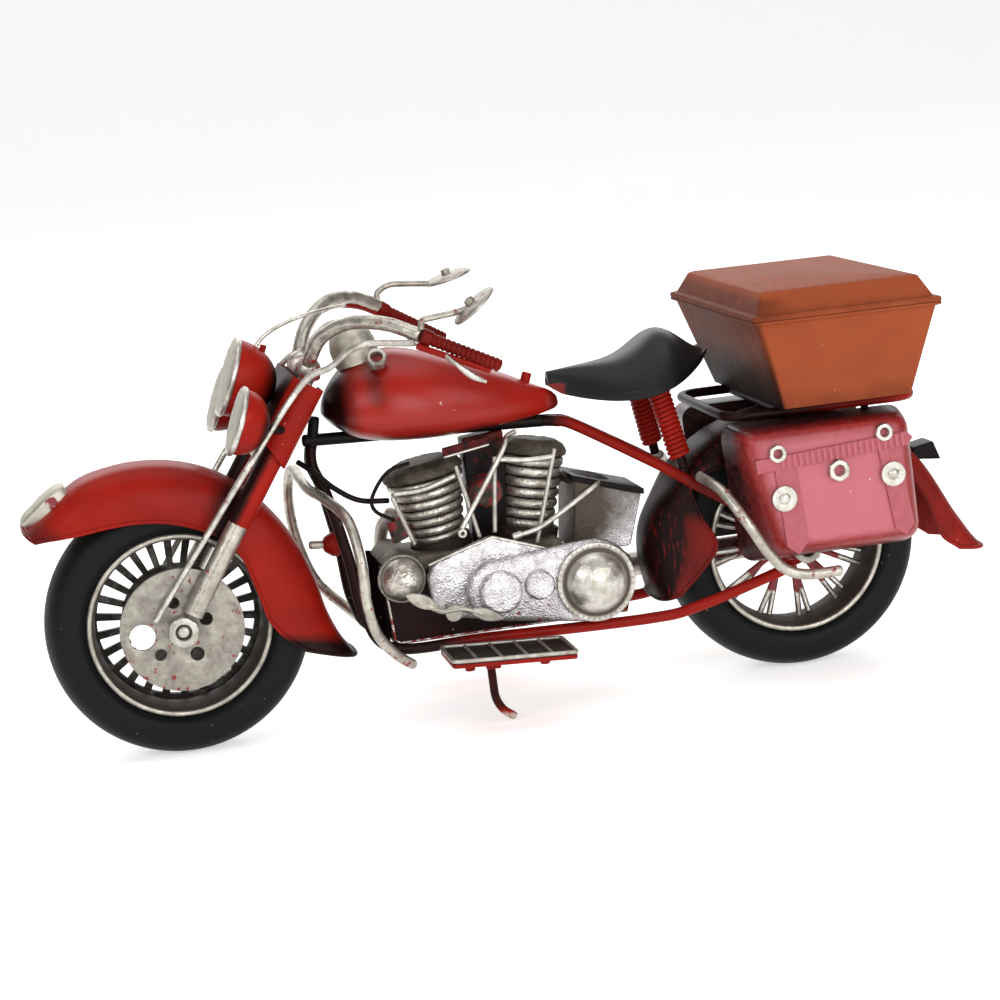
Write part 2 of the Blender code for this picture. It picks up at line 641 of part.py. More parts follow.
rim_x0, rim_x1, rim_half, rim_z = BOX_RIM
LIP = 1.6
box_shell("top_box", [corners_at(*BOX_BASE),
                      corners_at(rim_x0 + LIP, rim_x1 - LIP, rim_half - LIP, rim_z - 0.9),
                      corners_at(rim_x0, rim_x1, rim_half, rim_z - 0.8),
                      corners_at(rim_x0, rim_x1, rim_half, rim_z)], TAN, None)
box_shell("box_lid", [corners_at(*LID_TOP),
                      corners_at(rim_x0 + LIP + 0.4, rim_x1 - LIP - 0.4, rim_half - LIP - 0.4, rim_z + 1.8),
                      corners_at(rim_x0, rim_x1, rim_half, rim_z + 1.7),
                      corners_at(rim_x0, rim_x1, rim_half, rim_z + 0.4)], TAN, LID_HINGE)

# ---------------------------------------------------------------- fork and lamps
stem = turned("stem", [(0, 83), (2.0, 83), (2.0, 54), (0, 54)], fork_point(0, 0, TRAIL_OFFSET),
              head_axis, SILVER, 12)
crowns = [block(f"crown_{i}", (7.0, 2 * FORK_HALF - 7.6, 3.2), fork_point(s, 0, 0.4),
                rotation=(0, RAKE, 0), group=CUTTERS) for i, s in enumerate((56.4, 79.8))]
combine("steering_stem", stem, crowns, SILVER, STEERING)

for side, sign in sides():
    turned(f"fork_leg_{side}", [(0, 82), (3.5, 82), (3.5, 36), (2.8, 36), (2.8, 5.6), (0, 5.6)],
           fork_point(0, FORK_HALF * sign), head_axis, RED, 14, STEERING)


def shroud_rings():
    """Sheet wrapped round the front of both fork legs, open at the back."""
    depth, wide = 4.5, FORK_HALF + 4.5
    outline = [(depth, -9.0)]
    for side, start in ((-1, 0), (1, 180)):
        angles = range(0, 181, 30)
        for step in angles:
            a = math.radians(step)
            y = side * (FORK_HALF + math.sin(a) * depth)
            outline.append((depth * math.cos(a) * (1 if side < 0 else -1), y))
    outline.append((depth, 9.0))
    assert max(abs(y) for _, y in outline) <= wide + 1e-6
    return [[fork_point(s + lift * (1 - across / depth), y, across) for across, y in outline]
            for s, lift in ((50.5, 3.0), (66.0, 1.5), (82.6, 0.0))]


surface("fork_shroud", shroud_rings(), RED, STEERING, close=False, thickness=0.6)

turned("front_axle", [(0, 19.6), (4.3, 19.6), (4.3, 15.4), (1.6, 15.4), (1.6, -15.4), (4.3, -15.4),
                      (4.3, -19.6), (0, -19.6)], (0, 0, WHEEL_RADIUS), (0, 1, 0), SILVER, 12, STEERING)


def lamp(name, centre, radius, deep, material):
    """A bowl lamp that looks forward and a little up, lens and bezel at the front."""
    tilt = math.radians(20.9)
    axis = (math.cos(tilt), 0, -math.sin(tilt))
    bowl = [(0, deep)]
    for i in range(1, 6):
        a = math.pi / 2 * i / 6
        bowl.append((radius * 0.96 * math.sin(a), deep * math.cos(a)))
    bowl += [(radius * 0.96, 0.6), (radius, 0.4), (radius, -0.8), (radius * 0.9, -1.2),
             (radius * 0.5, -1.9), (0, -2.1)]
    turned(name, bowl, centre, axis, material, 20, STEERING)


lamp("headlight", (23.9, 0, 111.5), 12.3, 14.0, RED)
for side, sign in sides():
    lamp(f"spot_lamp_{side}", (22.4, 26.6 * sign, 101.6), 10.3, 8.8, RED)

# ---------------------------------------------------------------- handlebar and its pieces
tube("handlebar",
     [(76.6, -37.6, 121.6), (67.5, -30, 125.4), (58.0, -22, 125.9), (50.4, -15.5, 121.8), (46.6, -11, 114.6),
      (46.8, -5, 112.0), (46.8, 5, 112.0), (46.6, 11, 114.6), (50.4, 15.5, 122.6), (58.0, 22, 128.4),
      (67.5, 30, 128.0), (76.6, 37.6, 123.6)], 4.2, SILVER, STEERING, count=32)
GRIPS = {"left": [(77.2, -38.2, 121.3), (98.6, -41.4, 110.4)],
         "right": [(77.2, 38.2, 122.6), (97.4, 41.2, 110.2)]}
MIRRORS = {"left": ((92.4, -38.6, 129.2), 29.0), "right": ((99.6, 38.6, 129.9), 14.5)}
for side, sign in sides():
    start, stop = (np.array(p) for p in GRIPS[side])
    along = (stop - start) / np.linalg.norm(stop - start)
    length = float(np.linalg.norm(stop - start))
    turned(f"grip_{side}", [(0, length), (2.2, length), (2.7, length - 0.8), (2.7, 1.2), (2.3, 0.3), (0, 0.3)],
           tuple(start), tuple(along), RED, 12, STEERING)
    centre, tilt = MIRRORS[side]
    tilt = math.radians(tilt)
    back = (-math.sin(tilt), 0, math.cos(tilt))
    disc = turned(f"mirror_disc_{side}", [(0, 1.6), (4.6, 1.4), (7.2, 0.7), (7.7, 0.0), (7.4, -0.6), (0, -0.6)],
                  centre, back, SILVER, 20)
    edge = Vector(centre) - Vector((math.cos(tilt), 0, math.sin(tilt))) * 5.6
    foot = start + np.array([-0.4, 0.6 * sign, 3.4])
    stem = tube(f"mirror_stem_{side}", [tuple(foot), tuple(foot + np.array([1.6, 0.1 * sign, 3.0])),
                                        tuple(edge + Vector((-3.0, 0, -0.2))), tuple(edge)], 1.9, SILVER,
                count=7)
    combine(f"mirror_{side}", disc, [stem], SILVER, STEERING)
    tube(f"brake_rod_{side}",
         [(-7.9, 17.0 * sign, 43.9), (6.0, 19.6 * sign, 63.0), (21.6, 24.4 * sign, 84.6),
          (41.4, 24.9 * sign, 109.2), (50.6, 27.5 * sign, 114.4), (59.6, 32.0 * sign, 118.2),
          (73.0, 38.4 * sign, 117.2)], 2.0, SILVER, STEERING, count=16)

# ---------------------------------------------------------------- wheels
TYRE = [(27.3, 7.2), (31.0, 9.8), (34.6, TYRE_HALF), (38.0, 8.8), (WHEEL_RADIUS, TREAD_HALF),
        (WHEEL_RADIUS, -TREAD_HALF), (38.0, -8.8), (34.6, -TYRE_HALF), (31.0, -9.8), (27.3, -7.2)]


def spoke_slots(name, centre, count, inner, outer, half_in, half_out):
    """Wedge cutters all round the web of a rim, as one mesh."""
    mesh = bpy.data.meshes.new(name)
    bm = bmesh.new()
    for i in range(count):
        a = 2 * math.pi * (i + 0.5) / count
        corners = []
        for y in (-4.0, 4.0):
            for r, half in ((inner, -half_in), (outer, -half_out), (outer, half_out), (inner, half_in)):
                x = r * math.cos(a) - half * math.sin(a)
                z = r * math.sin(a) + half * math.cos(a)
                corners.append(bm.verts.new(place(centre[0] + x, y, centre[2] + z)))
        low, high = corners[:4], corners[4:]
        bm.faces.new(low)
        bm.faces.new(high[::-1])
        for k in range(4):
            j = (k + 1) % 4
            bm.faces.new((low[k], high[k], high[j], low[j]))
    bmesh.ops.recalc_face_normals(bm, faces=bm.faces)
    bm.to_mesh(mesh)
    bm.free()
    return add_mesh(name, mesh, None, None, 0.0, CUTTERS)


def wheel(end, axle_x, parent, lip, web, slots):
    """Tyre and rim of one wheel; lip is the rim's half width, web half the web's thickness."""
    centre = (axle_x, 0, WHEEL_RADIUS)
    turned(f"{end}_tyre", TYRE, centre, (0, -1, 0), RUBBER, 32, parent)
    half = [(5.0, 13.2), (5.0, web), (24.0, web), (25.4, lip), (RIM_RADIUS, lip)]
    profile = half + [(r, -y) for r, y in half[::-1]] + [(2.0, -13.2), (2.0, 13.2)]
    rim = turned(f"{end}_wheel", profile, centre, (0, -1, 0), SILVER, 32)
    cutters = spoke_slots(f"{end}_slots", centre, *slots)
    combine(f"{end}_rim", rim, [cutters], SILVER, parent, "DIFFERENCE")


wheel("front", 0.0, FRONT_AXLE, 8.4, 0.7, (26, 16.0, 22.6, 1.25, 1.75))
wheel("rear", WHEELBASE, REAR_AXLE, 10.9, 0.9, (12, 8.0, 22.8, 1.2, 4.8))
DISC_HOLES = [(-12.0, 39.2, 3.9), (7.3, 42.4, 2.0), (3.6, 32.2, 2.1), (-7.2, 33.3, 1.8), (-1.8, 48.4, 1.8),
              (0.0, WHEEL_RADIUS, 2.0)]
plate("brake_disc", [circle(0.0, WHEEL_RADIUS, 18.6, 32)] + [circle(*hole, 12) for hole in DISC_HOLES],
      -14.4, 1.4, SILVER, FRONT_AXLE)
turned("rear_axle", [(0, 21.3), (3.9, 21.3), (3.9, 17.2), (1.6, 17.2), (1.6, -17.2), (3.9, -17.2),
                     (3.9, -21.3), (0, -21.3)], (WHEELBASE, 0, WHEEL_RADIUS), (0, 1, 0), SILVER, 12)

for empty, parent in ((FRONT_AXLE, STEERING),):
    hang(empty, parent)
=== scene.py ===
# %% [markdown]
# # Dressing a tin motorcycle
# The frame of this model is already made and packed: sixty simple solids that meet, turn and
# collide correctly. This script gives them their looks. Each solid is replaced by a finer
# surface, worked out with numpy from a short formula, and painted with a procedural material.
# The real thing is a shelf ornament of pressed tin, bent wire and hex nuts, sprayed red, then
# shaded with black and rubbed with silver. Here most of that black is painted shade, laid where
# shadow falls, so wear and shading matter as much as shape.

# %% Load the imported frame
import math

import bmesh
import bpy
import numpy as np
from mathutils import Matrix, Vector


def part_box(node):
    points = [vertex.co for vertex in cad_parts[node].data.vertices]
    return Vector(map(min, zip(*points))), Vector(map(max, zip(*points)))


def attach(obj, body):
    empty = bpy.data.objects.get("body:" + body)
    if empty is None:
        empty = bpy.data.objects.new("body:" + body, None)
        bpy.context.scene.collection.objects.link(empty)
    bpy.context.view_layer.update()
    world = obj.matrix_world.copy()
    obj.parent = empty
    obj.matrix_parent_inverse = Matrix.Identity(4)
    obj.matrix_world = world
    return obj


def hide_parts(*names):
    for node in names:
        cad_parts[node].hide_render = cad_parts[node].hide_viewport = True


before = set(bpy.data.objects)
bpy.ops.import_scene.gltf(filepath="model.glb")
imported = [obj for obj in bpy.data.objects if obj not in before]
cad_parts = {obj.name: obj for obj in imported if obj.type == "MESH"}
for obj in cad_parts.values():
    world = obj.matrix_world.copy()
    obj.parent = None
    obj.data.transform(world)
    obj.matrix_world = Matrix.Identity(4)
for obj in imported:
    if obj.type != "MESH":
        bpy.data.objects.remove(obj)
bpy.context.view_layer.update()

# %% [markdown]
# ## One ruler for every piece
# Shapes are written in millimetres in the bike's own layout: x runs back from the front axle,
# y to the rider's right, z up from the ground. The front wheel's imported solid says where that
# axle is, so nothing has to be fitted by hand.

# %% Driving dimensions
MM = 0.001
tyre_low, tyre_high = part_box("front_tyre")
rear_low, rear_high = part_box("rear_tyre")
FRONT_AXLE_X = (tyre_low.x + tyre_high.x) / 2 / MM
WHEEL_RADIUS = (tyre_high.z - tyre_low.z) / 2 / MM
TYRE_HALF = tyre_high.y / MM
WHEELBASE = (rear_low.x + rear_high.x) / 2 / MM - FRONT_AXLE_X
RAKE = math.radians(33.0)
FORK_HALF = 18.5
WIRE = 1.7                 # radius of the frame wire
FORK_AXIS = np.array((math.sin(RAKE), 0.0, math.cos(RAKE)))
LEFT = np.array((0.0, -1.0, 0.0))
print(f"wheel radius {WHEEL_RADIUS:.1f} mm, wheelbase {WHEELBASE:.1f} mm")


def in_frame(points):
    """Layout millimetres to frame metres: add the front axle's place, then scale."""
    return (np.asarray(points, float) + (FRONT_AXLE_X, 0.0, 0.0)) * MM


def fork_point(s, y=0.0, across=0.0):
    """Layout point s up the fork line from the axle; across is the way back, square to it."""
    return np.array((s * math.sin(RAKE) + across * math.cos(RAKE), y,
                     WHEEL_RADIUS + s * math.cos(RAKE) - across * math.sin(RAKE)))


def both_sides():
    """The left side, then the right, with the sign of y for each."""
    return (("left", -1), ("right", 1))


# %% [markdown]
# ## Camera
# Something small is best looked at from some way off through a long lens, because a close, wide
# lens would swell whatever is nearest. From here the wheels stay round and both can be compared.

# %% Camera
CAMERA_AT = (-57.0, -829.3, 216.6)
FOCAL_LENGTH = 100.4
TURN, TILT, ROLL = (math.radians(d) for d in (10.87, 10.26, 5.48))

back = Vector((-math.sin(TURN) * math.cos(TILT), -math.cos(TURN) * math.cos(TILT), math.sin(TILT)))
level = Vector((math.cos(TURN), -math.sin(TURN), 0.0))
rise = back.cross(level)
right = level * math.cos(ROLL) - rise * math.sin(ROLL)
up = level * math.sin(ROLL) + rise * math.cos(ROLL)
camera_data = bpy.data.cameras.new("product_camera")
camera_data.sensor_width, camera_data.lens = 36.0, FOCAL_LENGTH
camera_data.clip_start, camera_data.clip_end = 0.01, 20.0
camera = bpy.data.objects.new("product_camera", camera_data)
camera.matrix_world = Matrix.Translation(Vector(in_frame(CAMERA_AT))) @ Matrix(
    (right, up, back)).transposed().to_4x4()
bpy.context.scene.collection.objects.link(camera)
bpy.context.scene.camera = camera
print("camera stands", round(camera.location.length, 3), "m from the frame's origin")


# %% [markdown]
# ## Colours as a painter writes them
# Hex values are how a screen stores a colour. The renderer works in linear light, so one function
# undoes the screen's curve, channel by channel.

# %% Linear colours and one way to add a node
def linear(hex_code):
    """sRGB hex to linear: below 0.04045 divide by 12.92, above it raise to the power 2.4."""
    channels = np.array([int(hex_code[i:i + 2], 16) for i in (1, 3, 5)]) / 255.0
    straight, curved = channels / 12.92, ((channels + 0.055) / 1.055) ** 2.4
    return (*np.where(channels <= 0.04045, straight, curved).tolist(), 1.0)


# Each recipe is a kind of node, the output it is used for, and its settings.
PLACE = ("ShaderNodeTexCoord", "Object", {})
SHADE_AND_WASH = ("ShaderNodeAttribute", "Fac", {"attribute_name": "shade_and_wash"})
TINT = ("ShaderNodeAttribute", "Fac", {"attribute_name": "tint"})
CLOUDS = ("ShaderNodeTexNoise", "Fac", {})
CELLS = ("ShaderNodeTexVoronoi", "Distance", {})
STRETCH = ("ShaderNodeMapping", 0, {})
BLEND = ("ShaderNodeMix", 2, {"data_type": "RGBA"})     # input 0 goes from colour 6 to colour 7
RAMP = ("ShaderNodeMapRange", 0, {})                    # value, where it is 0, where it is 1
SUM = ("ShaderNodeMath", 0, {"operation": "ADD", "use_clamp": True})
PRODUCT = ("ShaderNodeMath", 0, {"operation": "MULTIPLY", "use_clamp": True})
DIFFERENCE = ("ShaderNodeMath", 0, {"operation": "SUBTRACT", "use_clamp": True})
RELIEF = ("ShaderNodeBump", 0, {})


def fill(node, inputs):
    """Give each input its value, or link it to the socket of another node."""
    for key, value in inputs.items() if isinstance(inputs, dict) else enumerate(inputs):
        if isinstance(value, bpy.types.NodeSocket):
            node.id_data.links.new(value, node.inputs[key])
        else:
            node.inputs[key].default_value = value


def add(tree, recipe, inputs=()):
    """Add one node with its settings and inputs, and give back the output it is used for."""
    kind, output, settings = recipe
    node = tree.nodes.new(kind)
    for key, value in settings.items():
        setattr(node, key, value)
    fill(node, inputs)
    return node.outputs[output]


def grain(place, size_mm, detail=4.0, roughness=0.55, distortion=0.0):
    """Inputs for clouds whose patches are about size_mm across."""
    return {"Vector": place, "Scale": 1.0 / (size_mm * MM), "Detail": detail, "Roughness": roughness,
            "Distortion": distortion}


def new_finish(name):
    """A material, its node tree and its Principled shader."""
    material = bpy.data.materials.new(name)
    material.use_nodes = True
    return material, material.node_tree, material.node_tree.nodes["Principled BSDF"]


print("red enamel in linear light:", [round(c, 3) for c in linear("#96190E")[:3]])

# %% [markdown]
# ## Sprayed enamel over tin
# The red, black and tan paints are one process: a satin enamel is sprayed over pressed tin, black
# is laid in the hollows, undersides and ends, mostly as painted shade where shadow falls and on the
# frame as two-tone paint, and handling leaves tiny chips that show bright metal. Each vertex carries
# two numbers: one says how dark the painted shade is there, and *tint* how far the second colour
# shows, which on the saddlebags and the lid is a painted sheen. So the shade follows the piece and
# noise frays its edge.

# %% Enamel
CHIP_METAL = "#C8C2B4"


def enamel(name, paint, deep, shade_and_fog_colour, second, roughness, second_metal=0.0, chips=0.74,
           streaky=False, shine=0.1, fray=(0.62, 0.8)):
    """Paint mottled between two tones, darkened by black painted shade, broken to a second colour by tint,
    chipped.

    The painted shade shows where its vertex value plus 0.42 noise passes 0.3 to 0.98; the second colour
    where tint plus 0.55 noise passes fray; a chip where fine noise passes chips inside the larger patches of
    another."""
    material, tree, shader = new_finish(name)
    place, shade_and_wash, tint = (add(tree, recipe) for recipe in (PLACE, SHADE_AND_WASH, TINT))
    shade = add(tree, RAMP, (add(tree, CLOUDS, grain(place, 22.0)), 0.36, 0.66))
    colour = add(tree, BLEND, {0: shade, 6: linear(paint), 7: linear(deep)})
    cloud = add(tree, PRODUCT, (add(tree, CLOUDS, grain(place, 9.0, 6.0, 0.6)), 0.42))
    shade_and_fog_amount = add(tree, RAMP, (add(tree, SUM, (shade_and_wash, cloud)), 0.3, 0.98))
    colour = add(tree, BLEND, {0: add(tree, PRODUCT, (shade_and_fog_amount, 0.97)), 6: colour, 7: linear(shade_and_fog_colour)})
    if streaky:
        upright = add(tree, STRETCH, {"Vector": place, "Scale": (1.0, 1.0, 0.18)})
        lines = add(tree, CLOUDS, {"Vector": upright, "Scale": 900.0, "Detail": 3.0})
        colour = add(tree, BLEND, {0: add(tree, RAMP, (lines, 0.55, 0.72)), 6: colour, 7: linear(deep)})
    frayed = add(tree, PRODUCT, (add(tree, CLOUDS, grain(place, 2.2, 8.0, 0.7)), 0.55))
    edge = add(tree, RAMP, (add(tree, SUM, (tint, frayed)), *fray))
    colour = add(tree, BLEND, {0: edge, 6: colour, 7: linear(second)})
    speck = add(tree, RAMP, (add(tree, CLOUDS, grain(place, 1.6, 2.0, 0.5)), chips, chips + 0.015))
    handled = add(tree, RAMP, (add(tree, CLOUDS, grain(place, 14.0, 2.0)), 0.52, 0.6))
    chip = add(tree, PRODUCT, (speck, handled))
    sheen = add(tree, PRODUCT, (add(tree, CLOUDS, grain(place, 6.0)), 0.14))
    fill(shader, {
        "Base Color": add(tree, BLEND, {0: chip, 6: colour, 7: linear(CHIP_METAL)}),
        "Metallic": add(tree, SUM, (chip, add(tree, PRODUCT, (edge, second_metal)))),
        "Roughness": add(tree, SUM, (roughness - 0.06, sheen)),
        "Specular IOR Level": shine,
        "Normal": add(tree, RELIEF, {"Height": add(tree, CLOUDS, grain(place, 1.1, 3.0)),
                                     "Distance": 0.12 * MM, "Strength": 0.22})})
    return material


RED = enamel("red_enamel", "#96190E", "#80140C", "#0E0807", "#BDB7A9", 0.36, 0.85)
TANK_RED = enamel("tank_enamel", "#9A1A0F", "#86160D", "#0C0707", "#BDB7A9", 0.30, shine=0.3)
# On the saddlebags the pink second colour is a painted sheen on the flat faces and straps.
BAG_RED = enamel("red_enamel_with_painted_sheen", "#8A1912", "#7A1511", "#0E0707", "#B4606A", 0.34,
                 shine=0.34, fray=(0.24, 1.0))
# The tan's paler second colour is a painted highlight on the middle of the lid's flat top.
TAN = enamel("tan_enamel", "#94492C", "#8A4227", "#100B08", "#B08468", 0.52, shine=0.05,
             fray=(0.4, 1.1))
BLACK = enamel("black_enamel", "#0F0C0C", "#180E0E", "#080606", "#6A1612", 0.38)
SADDLE = enamel("saddle_enamel", "#171919", "#101212", "#090A0A", "#74201C", 0.38,
                shine=0.22, chips=0.78)
# Near-black without shine: painted shade on the ends of the tray under the engine.
TRAY_SHADE_BLACK = enamel("tray_shade_black_enamel", "#0C0909", "#120B0A", "#060505", "#3A0F0C", 0.75, shine=0.0)
HATCHED = enamel("hatched_enamel", "#94201A", "#661612", "#0C0808", "#A9A59B", 0.42,
                 streaky=True)


# %% [markdown]
# ## Antique silver
# The bars, covers and nuts are rubbed with silver over a dark ground, then washed with thinned
# brown so that the hollows stay dull. The same brown also serves as painted shade inside the wheel
# drums and under domes and bars. It is a bright metal that is rough in patches; one vertex number
# says where the brown and the painted shade collect, and *tint* where red paint got on it.

# %% Silver
STRAY_RED = "#7D1A1A"
HAMMER_CELLS = 1600.0      # cells per metre, so each dent is about 0.6 mm


def silver(name, bright, dull, brown_and_shade_colour, roughness, hammer, soak=0.0, chips=0.68):
    """Metal mottled bright to dull, with brown wash and painted shade in its hollows and undersides, red
    chips, and a hammered bump.

    The brown shows where its vertex value plus soak plus 0.62 noise passes 0.36 to 1; stray red where noise
    plus 0.55 tint passes chips. Both make the metal duller and rougher."""
    material, tree, shader = new_finish(name)
    place, shade_and_wash, tint = (add(tree, recipe) for recipe in (PLACE, SHADE_AND_WASH, TINT))
    rub = add(tree, CLOUDS, grain(place, 3.4, 8.0, 0.68))
    colour = add(tree, BLEND, {0: add(tree, RAMP, (rub, 0.34, 0.64)), 6: linear(dull), 7: linear(bright)})
    pool = add(tree, PRODUCT, (add(tree, CLOUDS, grain(place, 7.0, 7.0, 0.66, 0.6)), 0.62))
    brown_and_shade = add(tree, RAMP, (add(tree, SUM, (add(tree, SUM, (shade_and_wash, soak)), pool)), 0.36, 1.0))
    colour = add(tree, BLEND, {0: brown_and_shade, 6: colour, 7: linear(brown_and_shade_colour)})
    fleck = add(tree, SUM, (add(tree, CLOUDS, grain(place, 2.6, 5.0, 0.6)), add(tree, PRODUCT, (tint, 0.55))))
    red = add(tree, RAMP, (fleck, chips, chips + 0.05))
    dulled = add(tree, SUM, (add(tree, PRODUCT, (brown_and_shade, 0.55)), red))
    rubbed_rough = add(tree, SUM, (roughness, add(tree, PRODUCT, (rub, 0.16))))
    cells = add(tree, CELLS, {"Vector": place, "Scale": HAMMER_CELLS})
    dents = add(tree, SUM, (add(tree, PRODUCT, (cells, 0.5)), add(tree, PRODUCT, (rub, 0.5))))
    fill(shader, {
        "Base Color": add(tree, BLEND, {0: red, 6: colour, 7: linear(STRAY_RED)}),
        "Metallic": add(tree, DIFFERENCE, (0.94, dulled)),
        "Roughness": add(tree, SUM, (rubbed_rough, add(tree, PRODUCT, (brown_and_shade, 0.22)))),
        "Normal": add(tree, RELIEF, {"Height": dents, "Distance": 0.42 * MM, "Strength": hammer})})
    return material


SILVER = silver("rubbed_silver", "#C9C4B8", "#98928A", "#3B322A", 0.30, 0.22)
HAMMERED = silver("hammered_silver", "#E6E4E6", "#A8A3A4", "#4A3F35", 0.24, 1.0, -0.06)
CASTING = silver("washed_and_shaded_casting", "#E6E2DA", "#A09889", "#1F1812", 0.25, 0.6, 0.04)
SOOT = silver("sooty_casting", "#9A917E", "#62594A", "#211A13", 0.40, 0.6, 0.14)
BRIGHT = silver("bright_silver", "#DEDBD4", "#ADA79C", "#4E453A", 0.26, 0.25, -0.04)
LENS = silver("painted_lens", "#C4BFB2", "#ABA699", "#6E675B", 0.42, 0.1, -0.2, 0.9)


# %% [markdown]
# ## Tyre rubber
# The tyres are smooth moulded rubber with no tread, near black with a cold cast, and dusty enough
# to scatter a broad soft sheen. A high roughness with a faint mottle gives that.

# %% Rubber
def moulded_rubber():
    """Charcoal with a faint dusty mottle, a few pale specks and a very fine grain."""
    material, tree, shader = new_finish("moulded_rubber")
    place = add(tree, PLACE)
    dust = add(tree, RAMP, (add(tree, CLOUDS, grain(place, 16.0, 6.0, 0.6)), 0.35, 0.75))
    colour = add(tree, BLEND, {0: dust, 6: linear("#070909"), 7: linear("#0D1011")})
    speck = add(tree, RAMP, (add(tree, CLOUDS, grain(place, 1.1, 2.0, 0.5)), 0.76, 0.78))
    fill(shader, {
        "Base Color": add(tree, BLEND, {0: speck, 6: colour, 7: linear("#75787A")}),
        "Roughness": add(tree, SUM, (0.5, add(tree, PRODUCT, (dust, 0.12)))),
        "Specular IOR Level": 0.16,
        "Normal": add(tree, RELIEF, {"Height": add(tree, CLOUDS, grain(place, 0.9, 3.0)),
                                     "Distance": 0.08 * MM, "Strength": 0.25})})
    return material


RUBBER = moulded_rubber()

# %% [markdown]
# ## Surfaces from grids
# Every new piece is a grid of points: two parameters in, one point out, worked out as whole
# arrays. A few kinds of grid cover the whole bike: a tube carried along a wire, a turned profile,
# an extruded plate with softened edges, and a thin shell bent from sheet.

# %% From a grid to a piece of the model
def quads(rows, columns, around=False, along=False):
    """Corner numbers of each square of a grid; around joins the last column to the first."""
    r, c = np.meshgrid(np.arange(rows if along else rows - 1), np.arange(columns if around else columns - 1),
                       indexing="ij")
    r2, c2 = (r + 1) % rows, (c + 1) % columns
    corners = np.stack([r * columns + c, r * columns + c2, r2 * columns + c2, r2 * columns + c], axis=-1)
    return corners.reshape(-1, 4).tolist()


def skin(grid, around=True, along=False, caps=True):
    """A grid of points (rows, columns, 3) as points and faces; caps close its first and last rows."""
    rows, columns = grid.shape[:2]
    faces = quads(rows, columns, around, along)
    if caps and around and not along:
        faces += [list(range(columns))[::-1], list(range((rows - 1) * columns, rows * columns))]
    return grid.reshape(-1, 3), faces


def joined(*shapes):
    """Several shapes as one: the corner numbers of each start where the last one's points end."""
    starts = np.cumsum([0] + [len(points) for points, _ in shapes])
    faces = [[int(corner + start) for corner in face]
             for (_, own_faces), start in zip(shapes, starts) for face in own_faces]
    return np.vstack([points for points, _ in shapes]), faces


def mirrored(shape):
    """The same shape on the other side of the bike; its faces are turned to stay outward."""
    points, faces = shape
    return points * (1.0, -1.0, 1.0), [face[::-1] for face in faces]


def ring_of(shape, count, centre, start=0.0):
    """Copies of a shape turned about an axis along y: each point times one rotation per copy."""
    points, faces = shape
    turns = start + np.arange(count) * 2 * np.pi / count
    local = points - centre
    x = np.cos(turns)[:, None] * local[:, 0] - np.sin(turns)[:, None] * local[:, 2]
    z = np.sin(turns)[:, None] * local[:, 0] + np.cos(turns)[:, None] * local[:, 2]
    y = np.broadcast_to(local[:, 1], x.shape)
    return joined(*[(copy + centre, faces) for copy in np.stack([x, y, z], axis=-1)])


def make(name, shape, finish, body="root", stands_for=(), shade_and_wash=None, tint=None, crease=38.0):
    """Build the mesh, merge its seams, point its faces out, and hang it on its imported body."""
    points, faces = shape
    mesh = bpy.data.meshes.new(name)
    mesh.from_pydata(in_frame(points).tolist(), [], faces)
    for key, rule in (("shade_and_wash", shade_and_wash), ("tint", tint)):
        value = rule(*points.T) if callable(rule) else (0.0 if rule is None else rule)
        spread = np.clip(np.broadcast_to(value, len(points)), 0.0, 1.0).astype(np.float32)
        mesh.attributes.new(key, "FLOAT", "POINT").data.foreach_set("value", np.ascontiguousarray(spread))
    bm = bmesh.new()
    bm.from_mesh(mesh)
    bmesh.ops.remove_doubles(bm, verts=bm.verts, dist=2e-6)
    bmesh.ops.dissolve_degenerate(bm, edges=bm.edges, dist=1e-7)
    bmesh.ops.recalc_face_normals(bm, faces=bm.faces)
    bm.to_mesh(mesh)
    bm.free()
    mesh.shade_smooth()
    mesh.set_sharp_from_angle(angle=math.radians(crease))
    mesh.materials.append(finish)
    made = bpy.data.objects.new(name, mesh)
    bpy.context.scene.collection.objects.link(made)
    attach(made, body)
    if stands_for:
        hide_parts(*stands_for)
    return made


def unit(vectors):
    """Each vector divided by its own length."""
    return vectors / np.maximum(np.linalg.norm(vectors, axis=-1, keepdims=True), 1e-12)


def fade(value, start, stop):
    """Smooth step: 0 before start, 1 after stop, with no corner between; either may be larger."""
    t = np.clip((value - start) / (stop - start), 0.0, 1.0)
    return t * t * (3 - 2 * t)


def dented(shape, size, depth):
    """Beaten metal: each point of a shape moves by a sum of sine waves about size long, depth high."""
    points, faces = shape
    p = points / size
    wave = (np.sin(p @ (2.1, 3.3, 1.7)) + np.sin(p @ (-3.9, 1.1, 2.9) + 1.3)
            + np.sin(p @ (1.3, -2.3, 4.1) + 2.1) + 0.6 * np.sin(p @ (5.9, 4.7, -5.3) + 0.4)) / 3.6
    way = np.stack([np.sin(p[..., 1] * 3), np.cos(p[..., 2] * 2), np.sin(p[..., 0] * 4 + 1)], axis=-1)
    return points + depth * wave[..., None] * unit(way), faces


# %% A tube carried along a wire
def smooth_route(points, per_span=12):
    """A curve through every point: each span is the cubic of its four nearest points (Catmull-Rom)."""
    route = np.asarray(points, float)
    ends = np.vstack([2 * route[0] - route[1], route, 2 * route[-1] - route[-2]])
    spans = len(route) - 1
    u = np.linspace(0.0, spans, spans * per_span + 1)
    k = np.minimum(u.astype(int), spans - 1)
    t = (u - k)[:, None]
    a, b, c, d = ends[k], ends[k + 1], ends[k + 2], ends[k + 3]
    return 0.5 * (2 * b + (c - a) * t + (2 * a - 5 * b + 4 * c - d) * t ** 2
                  + (3 * b - a - 3 * c + d) * t ** 3)


def straight_route(start, stop, count=8):
    """Evenly spaced points on a straight line."""
    return np.linspace(start, stop, count)


SPREAD = unit(np.array([(1, 0, 0), (0, 1, 0), (0, 0, 1), (1, 1, 0), (1, -1, 0), (0, 1, 1), (1, 0, 1),
                        (1, 0, -1.0)]))     # directions to choose a tube's fixed one from


